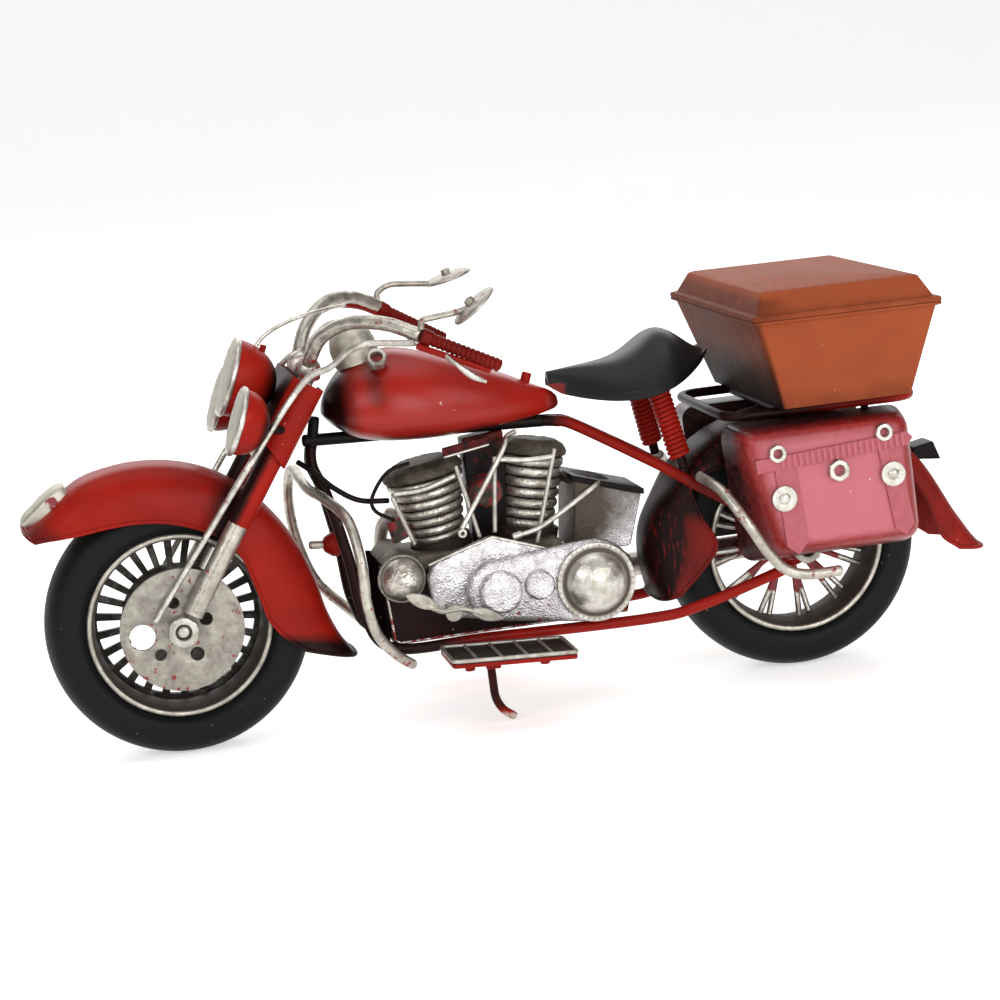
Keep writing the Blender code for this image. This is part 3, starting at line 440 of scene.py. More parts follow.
def tube(route, radius, sides=18, loop=False, round_end=0.5):
    """Circle carried along a route: point = route + radius (cos a side + sin a up).

    side is square to the route and to one fixed direction, the one that the route leans on least.
    Each end is pulled in over round_end radii as a quarter circle, then capped."""
    route = np.asarray(route, float)
    size = np.broadcast_to(np.asarray(radius, float), len(route)).copy()
    if not loop and round_end:
        lean = np.linspace(0, np.pi / 2, 4)
        depth = round_end * size[[0, -1]]
        first, last = unit(route[1] - route[0]), unit(route[-2] - route[-1])
        head = route[0] + (depth[0] * (1 - np.sin(lean)))[:, None] * first
        tail = route[-1] + (depth[1] * (1 - np.sin(lean)))[:, None] * last
        route = np.vstack([head[::-1], route[1:-1], tail])
        size = np.concatenate([(size[0] - depth[0] * (1 - np.cos(lean)))[::-1], size[1:-1],
                               size[-1] - depth[1] * (1 - np.cos(lean))])
    ahead = np.roll(route, -1, 0) - np.roll(route, 1, 0) if loop else np.gradient(route, axis=0)
    ahead = unit(ahead)
    fixed = SPREAD[np.abs(ahead @ SPREAD.T).max(0).argmin()]
    side = unit(np.cross(ahead, fixed))
    rise_up = np.cross(side, ahead)
    a = np.linspace(0, 2 * np.pi, sides, endpoint=False)
    circle = np.cos(a)[None, :, None] * side[:, None] + np.sin(a)[None, :, None] * rise_up[:, None]
    return skin(route[:, None] + size[:, None, None] * circle, along=loop)


# %% A turned piece, softened corners and a hex nut
def softened(outline, reach, closed=True, steps=4):
    """Round each corner: a small parabola that starts and ends reach from it, or halfway along."""
    points = np.asarray(outline, float)
    before, after = np.roll(points, 1, 0) - points, np.roll(points, -1, 0) - points
    room = np.minimum(np.linalg.norm(before, axis=1), np.linalg.norm(after, axis=1)) * 0.49
    pull = np.minimum(np.broadcast_to(reach, len(points)), room)[:, None]
    t = np.linspace(0, 1, steps)[None, :, None]
    bent = (points[:, None] + (unit(before) * pull)[:, None] * (1 - t) ** 2
            + (unit(after) * pull)[:, None] * t ** 2)
    if closed:
        return bent.reshape(-1, points.shape[1])
    return np.vstack([points[:1], bent[1:-1].reshape(-1, points.shape[1]), points[-1:]])


def axes_of(axis):
    """Two directions square to an axis and to each other."""
    axis = unit(np.asarray(axis, float))
    helper = np.array((0.0, 0.0, 1.0)) if abs(axis[2]) < 0.8 else np.array((0.0, 1.0, 0.0))
    side = unit(np.cross(axis, helper))
    return axis, side, np.cross(axis, side)


def turned(profile, centre, axis, steps=64, loop=False, lobes=None):
    """Profile of (radius, height) turned round an axis: centre + height axis + radius circle."""
    profile = np.asarray(profile, float)
    along, side, rise_up = axes_of(axis)
    a = np.linspace(0, 2 * np.pi, steps, endpoint=False)
    radius = profile[:, :1] * (np.ones(steps) if lobes is None else lobes(a))[None]
    grid = (np.asarray(centre, float) + profile[:, 1, None, None] * along
            + radius[..., None] * (np.cos(a)[:, None] * side + np.sin(a)[:, None] * rise_up)[None])
    return skin(grid, along=loop)


def spun(outline, reach, centre, axis, steps):
    """Turned solid whose outline starts and ends on the axis and has its corners softened by reach."""
    return turned(softened(outline, reach, False), centre, axis, steps)


def bent_wire(points, radius, sides, per_span=12):
    """A tube carried along the smooth route through a few points."""
    return tube(smooth_route(points, per_span), radius, sides)


def per_row(rows, steps, values):
    """One value for each row of a turned piece, given to all its points."""
    return np.repeat(np.broadcast_to(values, rows), steps)


def dome(radius, height, base=0.0, rows=10):
    """Profile of a dome on a short wall: quarter ellipse from the top down, then the wall."""
    lean = np.linspace(0, np.pi / 2, rows)
    curve = np.column_stack([radius * np.sin(lean), base + (height - base) * np.cos(lean)])
    return np.vstack([curve, [(radius, 0.0), (0.0, 0.0)]])


def hexagon(a):
    """Distance from a hexagon's middle to its side, where its across-flats radius is 1."""
    return 1.0 / np.cos((a + np.pi / 6) % (np.pi / 3) - np.pi / 6)


def nut(centre, axis, flats, height, bore, turn=0.0):
    """Hex nut: a hexagon whose top corners are cut off by a cone, round a threaded bore."""
    along, side, rise_up = axes_of(axis)
    a = np.linspace(0, 2 * np.pi, 48, endpoint=False)
    half, corner = flats / 2, hexagon(a + turn)
    rows = [(bore, 0.0), (bore, height * 0.88), (bore * 1.14, height), (half * 0.94, height),
            (np.minimum(corner, 1.04) * half, height * 0.95), (corner * half, height * 0.84),
            (corner * half, height * 0.1), (corner * half * 0.98, 0.0)]
    radius = np.array([np.broadcast_to(r, len(a)) for r, _ in rows])
    level_up = np.array([h for _, h in rows])
    grid = (np.asarray(centre, float) + level_up[:, None, None] * along
            + radius[..., None] * (np.cos(a)[:, None] * side + np.sin(a)[:, None] * rise_up)[None])
    return skin(grid, along=True)


# %% A plate with softened edges, and a shell bent from sheet
def circle(x, z, radius, count=48):
    """Outline of a round disc."""
    a = np.linspace(0, 2 * np.pi, count, endpoint=False)
    return np.column_stack([x + radius * np.cos(a), z + radius * np.sin(a)])


UPRIGHT = ((1, 0, 0), (0, 0, 1), (0, 1, 0))    # outlines drawn in x and z, thickness along y
FLAT = ((1, 0, 0), (0, 1, 0), (0, 0, 1))       # outlines drawn in x and y, thickness along z


def plate(outline, low, high, edge=0.4, plane=UPRIGHT, origin=(0, 0, 0), taper=0.0):
    """Outline extruded from low to high; each rim is drawn in by a quarter circle of radius edge."""
    outline = np.asarray(outline, float)
    ahead = unit(np.roll(outline, -1, 0) - np.roll(outline, 1, 0))
    u, v = outline.T
    area = 0.5 * np.sum(u * np.roll(v, -1) - np.roll(u, -1) * v)
    inward = np.column_stack([-ahead[:, 1], ahead[:, 0]]) * np.sign(area)
    lean = np.linspace(0, np.pi / 2, 4)
    draw = np.concatenate([edge * (1 - np.sin(lean)), (edge * (1 - np.sin(lean)) + taper)[::-1]])
    height = np.concatenate([low + edge * (1 - np.cos(lean)), (high - edge * (1 - np.cos(lean)))[::-1]])
    flat = outline[None] + draw[:, None, None] * inward[None]
    first, second, normal = (np.array(axis, float) for axis in plane)
    grid = (np.asarray(origin, float) + flat[..., :1] * first + flat[..., 1:] * second
            + height[:, None, None] * normal)
    return skin(grid)


def shell(grid, thickness):
    """Sheet metal: the grid, and a copy moved inward along its normals, joined all round the rim."""
    across, along = np.gradient(grid, axis=1), np.gradient(grid, axis=0)
    inner = grid + thickness * unit(np.cross(along, across))
    rows, columns = grid.shape[:2]
    both = np.concatenate([grid, inner[:, ::-1]], axis=1)
    faces = quads(rows, 2 * columns, around=True)
    c = np.arange(columns - 1)
    for row in (0, rows - 1):
        rim = row * 2 * columns + np.stack([c, c + 1, 2 * columns - 2 - c, 2 * columns - 1 - c], axis=-1)
        faces += rim.tolist()
    return both.reshape(-1, 3), faces


print("one nut has", len(nut((0, 0, 0), LEFT, 8.0, 4.0, 2.5)[1]), "faces")

# %% [markdown]
# ## Wheels
# Each tyre is a fat ring of rubber. Its section is a squared circle: a superellipse, wider inside
# than a true circle so that it grips the rim. The front wheel has a deep barrel, darkened inside by
# painted shade behind a bright lip, and a pressed web of twenty-six short bars behind a drilled disc;
# the rear one has a bright broad lip over a drum with painted shade inside, and wire spokes in pairs.

# %% Tyres and front wheel
def tyre(axle_x):
    """Superellipse section turned round the axle: power of cosine across, power of sine up."""
    a = np.linspace(0, 2 * np.pi, 44, endpoint=False)
    out, up_by = np.cos(a), np.sin(a)
    radius = WHEEL_RADIUS - 6.5 + 6.5 * np.sign(up_by) * np.abs(up_by) ** np.where(up_by > 0, 0.86, 0.5)
    width = TYRE_HALF * np.sign(out) * np.abs(out) ** 0.86
    return turned(np.column_stack([radius, width]), (axle_x, 0, WHEEL_RADIUS), LEFT, 128, loop=True)


def barrel(axle_x, lip, inner, depth):
    """Rim: a rolled lip on each side of a deep drum that narrows towards the middle plane."""
    half = [(lip + 0.2, depth - 1.0), (lip, depth), (lip - 0.7, depth + 0.35), (lip - 1.5, depth + 0.1),
            (lip - 1.8, depth - 0.9), (inner + 0.5, depth * 0.6), (inner, 1.2)]
    loop = softened(half + [(r, -y) for r, y in half[::-1]], 0.35)
    return turned(loop, (axle_x, 0, WHEEL_RADIUS), LEFT, 128, loop=True)


def from_axle(x, z, axle_x):
    """Distance from an axle, in millimetres."""
    return np.hypot(x - axle_x, z - WHEEL_RADIUS)


front_hub = np.array((0.0, 0.0, WHEEL_RADIUS))
rear_hub = np.array((WHEELBASE, 0.0, WHEEL_RADIUS))
make("front_tyre_rubber", tyre(0.0), RUBBER, "front_wheel", ["front_tyre"])
make("rear_tyre_rubber", tyre(WHEELBASE), RUBBER, "rear_wheel", ["rear_tyre"])
# Painted shade darkens the inside of the drum below the lip.
make("front_rim_barrel", barrel(0.0, 27.9, 25.0, 8.7), SILVER, "front_wheel", ["front_rim"],
     shade_and_wash=lambda x, y, z: 1.15 * fade(from_axle(x, z, 0.0), 26.6, 25.9) + 0.15)
print("tyre width:", round(2 * TYRE_HALF, 1), "mm")

# %% The drilled disc
def drilled_disc(name, radius, holes, y, thickness):
    """A flat curve with holes, extruded; it is made a mesh first, then its place goes into the mesh."""
    curve = bpy.data.curves.new(name, "CURVE")
    curve.dimensions, curve.fill_mode = "2D", "BOTH"
    curve.extrude, curve.bevel_depth, curve.bevel_resolution = thickness / 2 - 0.18, 0.18, 1
    for x, z, size in [(0.0, 0.0, radius)] + [(x, z - WHEEL_RADIUS, size) for x, z, size in holes]:
        outline = circle(x, z, size - 0.18 if size == radius else size + 0.18, 96 if size == radius else 28)
        spline = curve.splines.new("POLY")
        spline.points.add(len(outline) - 1)
        spline.points.foreach_set("co", np.column_stack([outline, np.zeros(len(outline)),
                                                        np.ones(len(outline))]).ravel())
        spline.use_cyclic_u = True
    drawn = bpy.data.objects.new(name + "_outline", curve)
    bpy.context.scene.collection.objects.link(drawn)
    bpy.context.view_layer.update()
    mesh = bpy.data.meshes.new_from_object(drawn.evaluated_get(bpy.context.evaluated_depsgraph_get()))
    bpy.data.objects.remove(drawn, do_unlink=True)
    local = np.zeros(len(mesh.vertices) * 3)
    mesh.vertices.foreach_get("co", local)
    local = local.reshape(-1, 3)
    faces = [list(face.vertices) for face in mesh.polygons]
    bpy.data.meshes.remove(mesh)
    return np.column_stack([local[:, 0], y - local[:, 2], local[:, 1] + WHEEL_RADIUS]), faces


web_middle = front_hub + (0.0, 6.5, 0.0)
web_bar = plate([(-24.4, -1.15), (-15.6, -0.9), (-15.6, 0.9), (-24.4, 1.15)], -1.3, 1.3, 0.45,
                origin=web_middle)
web = joined(drilled_disc("web_plate", 16.4, [(-10.8, 34.8, 5.4)], web_middle[1], 2.0),
             turned(softened([(24.0, 1.5), (26.0, 1.5), (26.0, -1.5), (24.0, -1.5)], 0.4), web_middle, LEFT,
                    96, loop=True),
             ring_of(web_bar, 26, web_middle, math.radians(7)))
make("front_web_bars", web, CASTING, "front_wheel", shade_and_wash=0.62)
make("front_hub_barrel", turned([(5.0, 13.0), (5.0, -13.0), (2.25, -13.0), (2.25, 13.0)], front_hub, LEFT, 40,
                                loop=True), CASTING, "front_wheel", shade_and_wash=0.4)

DISC_HOLES = [(-12.0, 39.2, 3.9), (7.3, 42.4, 2.0), (3.6, 32.2, 2.1), (-7.2, 33.3, 1.8), (-1.8, 48.4, 1.8)]
disc_face = drilled_disc("brake_disc", 18.6, DISC_HOLES, -14.4, 1.4)
make("drilled_brake_disc", disc_face, SILVER, "front_wheel", ["brake_disc"],
     shade_and_wash=lambda x, y, z: 0.30 + 0.25 * fade(from_axle(x, z, 0.0), 9, 3), tint=0.12)


def axle(hub, y_nut, reach):
    """A threaded rod with a hex nut on each end."""
    rod = tube(straight_route(hub + (0, -reach, 0), hub + (0, reach, 0)), 1.9, 20)
    near = nut(hub + (0, -y_nut, 0), LEFT, 8.6, reach - y_nut + 0.2, 2.3, 0.2)
    return joined(rod, near, mirrored(near))


make("front_axle_and_nuts", axle(front_hub, 15.6, 19.4), BRIGHT, "steering", ["front_axle"], shade_and_wash=0.25)
make("rear_axle_and_nuts", axle(rear_hub, 17.4, 21.1), SILVER, "root", ["rear_axle"], shade_and_wash=0.25)

# %% The rear wheel
# Painted shade darkens the inside of the drum below the lip.
make("rear_rim_barrel", barrel(WHEELBASE, 28.2, 25.2, 9.6), SILVER, "rear_wheel", ["rear_rim"],
     shade_and_wash=lambda x, y, z: 1.3 * fade(from_axle(x, z, WHEELBASE), 26.9, 26.1))
make("rear_hub_barrel", turned(softened([(6.4, 4.4), (8.6, 3.6), (8.6, -3.6), (6.4, -4.4), (5.0, -13.0),
                                         (2.2, -13.0), (2.2, 13.0), (5.0, 13.0)], 0.6), rear_hub, LEFT, 48,
                               loop=True), RED, "rear_wheel", shade_and_wash=0.35)
lean = math.radians(4.5)
spokes = []
for side, sign in both_sides():
    inner = rear_hub + (8.0 * math.cos(sign * lean), 3.0 * sign, 8.0 * math.sin(sign * lean))
    outer = rear_hub + (25.6 * math.cos(sign * lean), 1.2 * sign, 25.6 * math.sin(sign * lean))
    spokes.append(tube(straight_route(inner, outer, 6), 0.95, 12, round_end=0))
make("rear_spokes", ring_of(joined(*spokes), 12, rear_hub, math.radians(8)), BRIGHT, "rear_wheel",
     tint=lambda x, y, z: 1.4 * fade(from_axle(x, z, WHEELBASE), 17.5, 15.0))


# %% [markdown]
# ## Fenders
# A fender is a strip of sheet rolled over the wheel, drawn down at its sides and flared into a
# point at the tail. Its radius at the crown and at the skirt change along the arc, so a few
# stations (angle, crown, skirt) are joined by a smooth curve. Across the strip the radius falls
# off with a power of the distance from the middle, and a fine bead stiffens the rim.

# %% Fender sheets
FENDER_HALF = 14.0
FRONT_FENDER = [(-17.7, 55, 38), (-13.5, 50.4, 32.2), (-8, 47, 28.6), (-1, 44.6, 26.2), (8, 43.4, 25.4),
                (18, 42.8, 25.3), (30, 42.9, 26), (46, 43.8, 28.4), (62, 45.8, 29.8), (78, 47.6, 31),
                (94, 49.4, 33), (107, 51, 35.2), (118, 52.4, 37.8), (128, 52.2, 41.2), (135, 52.6, 45.2),
                (141.5, 54.4, 50.6)]
REAR_FENDER = [(-8.5, 62.6, 52.4), (-4, 58.2, 46.6), (4, 53.2, 44.6), (13, 50.2, 43.2), (24, 48.2, 41),
               (38, 46.2, 36.5), (54, 44.2, 33.5), (72, 42.8, 31.5), (92, 42.6, 31), (112, 43.2, 31.5),
               (130, 44.2, 36), (144, 44.8, 40.5), (156, 46, 34.5), (168, 48, 28), (178, 48.2, 28),
               (188, 47.6, 33.5), (195, 47.2, 41)]


def fender_grid(axle_x, stations, columns=45):
    """Radius = crown less (crown - skirt) |s|^2.6, out = half (1 - (1 - |s|)^1.9), s from -1 to 1."""
    angle, crown, skirt = (column[:, None] for column in smooth_route(stations, 8).T)
    s = np.linspace(-1, 1, columns)[None, :]
    out = FENDER_HALF * np.sign(s) * (1 - (1 - np.abs(s)) ** 1.9)
    radius = crown - (crown - skirt) * np.abs(s) ** 2.6
    a = np.radians(angle)
    return np.stack(np.broadcast_arrays(axle_x + radius * np.cos(a), out + 0 * a,
                                        WHEEL_RADIUS + radius * np.sin(a)), axis=-1)


def fender(grid):
    """Thin shell with a beaded rim: the bead follows both skirts and both ends."""
    rim = np.vstack([grid[:, 0], grid[-1, 1:-1], grid[::-1, -1], grid[0, -2:0:-1]])
    return joined(shell(grid, 0.7), tube(rim, 0.62, 10, loop=True))


def bearing(x, z, axle_x):
    """Angle round an axle in degrees: 0 at the rear, 90 on top, 180 in front."""
    return np.degrees(np.arctan2(z - WHEEL_RADIUS, x - axle_x)) % 360


def front_fender_painted_shade(x, y, z):
    """Painted shadow where the fork crosses, and painted shade at the tail's tip, under the nose and inside.
    """
    here = bearing(x, z, 0.0)
    fork_shadow = np.exp(-((here - 61) / 9) ** 2) * (0.6 + 0.3 * fade(np.abs(y), 6, 13))
    tip = fade(here, 352, 343) * (here > 300)
    nose = 0.5 * fade(here, 131, 140) * (here < 200) * fade(np.abs(y), 3, 12)
    return np.maximum.reduce([fork_shadow, 0.9 * tip, nose])


make("front_fender_sheet", fender(fender_grid(0.0, FRONT_FENDER)), RED, "steering", ["front_fender"],
     shade_and_wash=front_fender_painted_shade)


def rear_fender_painted_shade(x, y, z):
    """Painted shade over the front of the hood, under the seat and bags, and a faint trace towards the sides.
    """
    here = bearing(x, z, WHEELBASE)
    lit_skirt = 0.55 * fade(np.abs(y), 12.6, 13.8) * fade(here, 150, 165)
    hood = 0.95 * fade(here, 62, 95) * (here < 300) * (1 - lit_skirt)
    return np.maximum(hood, 0.05 * fade(np.abs(y), 9, 13.5))


make("rear_fender_sheet", fender(fender_grid(WHEELBASE, REAR_FENDER)), HATCHED, "root", ["rear_fender"],
     shade_and_wash=rear_fender_painted_shade)
tail_plate = plate(softened([(-5.2, -1.6), (4.6, -2.6), (2.4, 3.4), (-4.0, 2.2)], 0.5), -4.6, 4.6, 0.4,
                   origin=(239.2, 0, 62.0))
make("tail_plate_bracket", tail_plate, BLACK, "root", tint=0.15)


def marker_lamp():
    """A low pad on the nose of the fender: width and height are powers of a sine along its arc."""
    t = np.linspace(0.02, 0.98, 26)[:, None]
    a = np.linspace(0, 2 * np.pi, 40, endpoint=False)[None, :]
    half = 6.6 * np.sin(np.pi * t) ** 0.14
    height = 3.1 * np.sin(np.pi * t) ** 0.22
    crown = np.interp(t, [0, 0.35, 0.7, 1], [54.2, 52.7, 52.5, 52.7])
    lift = np.maximum(np.sin(a), -0.12)
    radius = crown + 0.15 + height * np.sign(lift) * np.abs(lift) ** 0.3
    out = half * np.sign(np.cos(a)) * np.abs(np.cos(a)) ** 0.55
    angle = np.radians(140.6 - 18.0 * t)
    return skin(np.stack([radius * np.cos(angle), out + 0 * t, WHEEL_RADIUS + radius * np.sin(angle)],
                         axis=-1))


make("fender_marker_lamp", marker_lamp(), LENS, "steering", ["fender_lamp"],
     tint=lambda x, y, z: 1.1 * fade(np.abs(y), 5.6, 6.5) * fade(bearing(x, z, 0.0), 137, 128),
     shade_and_wash=0.12)
print("fenders:", len(fender_grid(0.0, FRONT_FENDER)), "rows of sheet")


# %% [markdown]
# ## Fork and lamps
# Two tubes lean back to the handlebar. Their upper halves are sleeved in red and wrapped by one
# folded sheet; the lower halves are bare silver. The three lamps are spun bowls with a rolled
# bezel and a flat painted lens, and all of this turns with the bar.

# %% Fork legs and shroud
for side, sign in both_sides():
    foot = fork_point(0, FORK_HALF * sign)
    sleeve = spun([(0, 82.0), (3.55, 82.0), (3.55, 36.4), (3.2, 35.8), (0, 35.8)], 0.3, foot, FORK_AXIS, 40)
    slider = spun([(0, 36.4), (3.1, 36.4), (3.1, 6.0), (2.4, 5.7), (2.2, 7.5), (0, 7.5)], 0.25, foot,
                  FORK_AXIS, 40)
    # Painted shade on the front of each sleeve and on its inner side, between the legs.
    make(f"fork_sleeve_{side}", sleeve, RED, "steering", [f"fork_leg_{side}"],
         shade_and_wash=lambda x, y, z: 0.8 * fade(x - (z - WHEEL_RADIUS) * math.tan(RAKE), 0.6, -2.6)
         + 0.25 * fade(np.abs(y), 18, 15))
    make(f"fork_slider_{side}", slider, SILVER, "steering", tint=0.1)


def shroud_grid(columns_per_bend=15):
    """Sheet carried up the fork: straight across the front, then half a circle round each leg."""
    depth = 4.4
    bend = np.linspace(0, np.pi, columns_per_bend)
    near = np.column_stack([depth * np.cos(bend), -FORK_HALF - depth * np.sin(bend)])
    far = np.column_stack([-depth * np.cos(bend), FORK_HALF + depth * np.sin(bend)])
    outline = np.vstack([[(depth, -9.0)], near, [(-depth, y) for y in np.linspace(-15, 15, 13)], far,
                         [(depth, 9.0)]])
    across, y = outline[:, 0][None], outline[:, 1][None]
    s = np.linspace(0, 1, 30)[:, None]
    height = 56.6 + 25.8 * s + (1 - s) * 2.4 * (1 - across / depth)
    return np.stack([height * math.sin(RAKE) + across * math.cos(RAKE), y + 0 * s,
                     WHEEL_RADIUS + height * math.cos(RAKE) - across * math.sin(RAKE)], axis=-1)


# Painted shade: near black in the middle, between the legs, and darker towards the bottom.
make("fork_shroud_sheet", shell(shroud_grid(), 0.55), RED, "steering", ["fork_shroud"],
     shade_and_wash=lambda x, y, z: 0.95 * fade(np.abs(y), 20.5, 15.0) + 0.2 * fade(z, 92, 84), tint=0.06)
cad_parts["steering_stem"].data.materials.clear()
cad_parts["steering_stem"].data.materials.append(CASTING)


# %% Lamps and the wires that feed them
LAMP_TILT = math.radians(20.9)
LAMP_AXIS = np.array((math.cos(LAMP_TILT), 0.0, -math.sin(LAMP_TILT)))


def lamp(name, centre, radius, deep, node, with_nut):
    """Spun bowl (quarter ellipse), a rolled bezel ring and a shallow lens dome."""
    lean_angle = np.linspace(0, np.pi / 2, 16)
    bowl = np.column_stack([radius * 0.95 * np.sin(lean_angle) ** 0.92, deep * np.cos(lean_angle)])
    bowl = np.vstack([bowl, [(radius * 0.95, -0.5), (0, -0.5)]])
    centre = np.asarray(centre, float)
    # Painted shade on the lower side of each bowl and towards its back.
    make(f"{name}_bowl", turned(bowl, centre, LAMP_AXIS, 64), RED, "steering", [node],
         shade_and_wash=lambda x, y, z: 0.3 * fade(z - centre[2], -radius * 0.3, -radius)
         + 0.9 * fade((np.stack([x, y, z], -1) - centre) @ LAMP_AXIS, deep * 0.5, deep * 0.98))
    roll = np.linspace(0, 2 * np.pi, 12, endpoint=False)
    ring = np.column_stack([radius * 0.955 + 0.62 * np.cos(roll), -0.55 + 0.85 * np.sin(roll)])
    bezel = turned(ring, centre, LAMP_AXIS, 72, loop=True)
    make(f"{name}_bezel", dented(bezel, 2.2, 0.16), BRIGHT, "steering", shade_and_wash=0.18, tint=0.15)
    glass = dome(radius * 0.93, 2.0, 1.0)
    make(f"{name}_lens", turned(glass * (1, -1), centre, LAMP_AXIS, 64), LENS, "steering")
    if with_nut:
        crown = np.array((math.sin(LAMP_TILT), 0, math.cos(LAMP_TILT))) * radius * 0.8
        stud = spun([(0, 2.0), (1.0, 2.0), (1.0, -1.0), (0, -1.0)], 0.3,
                    centre + LAMP_AXIS * deep * 0.52 + crown, (0.4, 0, 1), 16)
        make(f"{name}_stud", stud, RED, "steering", shade_and_wash=0.2)


lamp("headlight", (23.9, 0, 111.5), 12.3, 14.0, "headlight", True)
for side, sign in both_sides():
    lamp(f"spot_lamp_{side}", (22.4, 26.6 * sign, 101.6), 10.3, 8.8, f"spot_lamp_{side}", False)
    bracket = bent_wire([(30.6, 24.8 * sign, 98.6), (35.0, 22.4 * sign, 97.0), (38.4, 20.4 * sign, 97.6)],
                        1.3, 12)
    make(f"spot_lamp_bracket_{side}", bracket, BLACK, "steering")
lamp_wire = bent_wire([(31.4, 0, 118.6), (35.6, 0, 122.8), (41.6, 0.2, 125.6), (48.6, 0.6, 127.4),
                       (57.6, 8, 127.8), (63.0, 17, 127.2)], 0.62, 10)
make("lamp_wire", lamp_wire, CASTING, "steering")


# %% [markdown]
# ## Handlebar, grips and mirrors
# One bent bar, brushed thickly with silver that stays lumpy where it meets the clamp. Wire is
# wound round each end for a grip, a second wire runs below it to the lever, and a dished mirror
# stands on a bent stem.

# %% Handlebar
BAR_ROUTE = [(76.6, -37.6, 121.6), (67.5, -30, 125.4), (58.0, -22, 125.9), (50.4, -15.5, 121.8),
             (46.6, -11, 114.6), (46.8, -5, 112.0), (46.8, 5, 112.0), (46.6, 11, 114.6),
             (50.4, 15.5, 122.6), (58.0, 22, 128.4), (67.5, 30, 128.0), (76.6, 37.6, 123.6)]
bar = tube(smooth_route(BAR_ROUTE, 14), 2.1, 24)
clamp = [turned(dome(4.0, 6.6, 2.2), (46.0, 8.0 * sign, 109.6), (0.12, 0.2 * sign, 1), 32)
         for _, sign in both_sides()]
clamp.append(tube(straight_route((45.6, -9.4, 111.0), (45.6, 9.4, 111.0), 14), 3.4, 28))
clamped = joined(bar, *clamp)
# Painted shade darkens the lower middle of the bar, round the clamp.
make("handlebar_tube", dented(clamped, 3.4, 0.22), SILVER, "steering", ["handlebar"],
     shade_and_wash=lambda x, y, z: 0.35 * fade(z, 117, 110) - 0.1, tint=lambda x, y, z: 0.25 * fade(z, 118, 112) + 0.1)
red_liner = bent_wire([(54, 21.5, 125.6), (62, 27.5, 126.6), (70, 33.5, 124.8), (78, 39.4, 120.6)], 1.3, 12)
make("far_bar_liner", red_liner, RED, "steering")
for side, sign in both_sides():
    rod_route = [(-7.9, 17.0 * sign, 43.9), (6.0, 19.6 * sign, 63.0), (21.6, 24.4 * sign, 84.6),
                 (41.4, 24.9 * sign, 109.2), (50.6, 27.5 * sign, 114.4), (59.6, 32.0 * sign, 120.2),
                 (74.4, 38.4 * sign, 119.8)]
    make(f"brake_rod_wire_{side}", tube(smooth_route(rod_route, 12), 1.0, 14), BRIGHT, "steering",
         [f"brake_rod_{side}"], shade_and_wash=lambda x, y, z: 0.25 * fade(z, 104, 112), tint=0.12)

# %% Wound grips, levers and mirrors
GRIPS = {"left": ((77.2, -38.2, 121.3), (98.6, -41.4, 110.4)),
         "right": ((77.2, 38.2, 122.6), (97.4, 41.2, 110.2))}


def wound_grip(start, stop, radius=1.55, wire=0.42, turns=16, rows=170, sides=28):
    """Wire wound on a rod: the radius swells by one wave per turn, whose phase follows the angle."""
    start, stop = np.asarray(start, float), np.asarray(stop, float)
    t = np.linspace(0, 1, rows)
    along, side_way, rise_up = axes_of(stop - start)
    a = np.linspace(0, 2 * np.pi, sides, endpoint=False)
    swell = wire * np.abs(np.cos(np.pi * turns * t[:, None] - a[None] / 2)) ** 0.6
    ends = np.clip(np.minimum(t, 1 - t) * 40, 0, 1) ** 0.5
    size = (radius + swell) * ends[:, None]
    circle_way = np.cos(a)[:, None] * side_way + np.sin(a)[:, None] * rise_up
    core = start + (t * np.linalg.norm(stop - start))[:, None, None] * along
    return skin(core + size[..., None] * circle_way[None])


for side, sign in both_sides():
    start, stop = (np.array(p) for p in GRIPS[side])
    collar = spun([(0, 3.2), (2.3, 3.2), (2.5, 0), (0, 0)], 0.5, start - (stop - start) * 0.03,
                  stop - start, 28)
    make(f"grip_winding_{side}", joined(wound_grip(start, stop), collar), RED, "steering", [f"grip_{side}"],
         shade_and_wash=0.42, tint=0.08)
    low_wire = bent_wire([(74.6, 39.0 * sign, 119.0), (79.4, 40.2 * sign, 116.8), (88, 40.4 * sign, 112.8),
                          (95.4, 40.2 * sign, 109.4)], 0.95, 14)
    make(f"grip_under_wire_{side}", low_wire, RED, "steering", shade_and_wash=0.15, tint=0.08)
    t = np.linspace(0, 1, 24)
    blade_line = np.column_stack([84.6 + 8.6 * t, np.full(24, 43.6 * sign),
                                  113.4 - 6.6 * t - 0.8 * np.sin(np.pi * t)])
    blade = tube(blade_line, 0.35 + 0.75 * np.sin(np.pi * np.clip(t, 0.05, 0.95)) ** 0.7, 14, round_end=0)
    make(f"lever_blade_{side}", blade, BRIGHT, "steering", shade_and_wash=0.15)
    elbow = bent_wire([(85.4, 43.5 * sign, 112.6), (84.0, 42.2 * sign, 113.8), (82.6, 40.6 * sign, 115.4)],
                      0.7, 10)
    make(f"lever_pivot_{side}", elbow, SILVER, "steering")

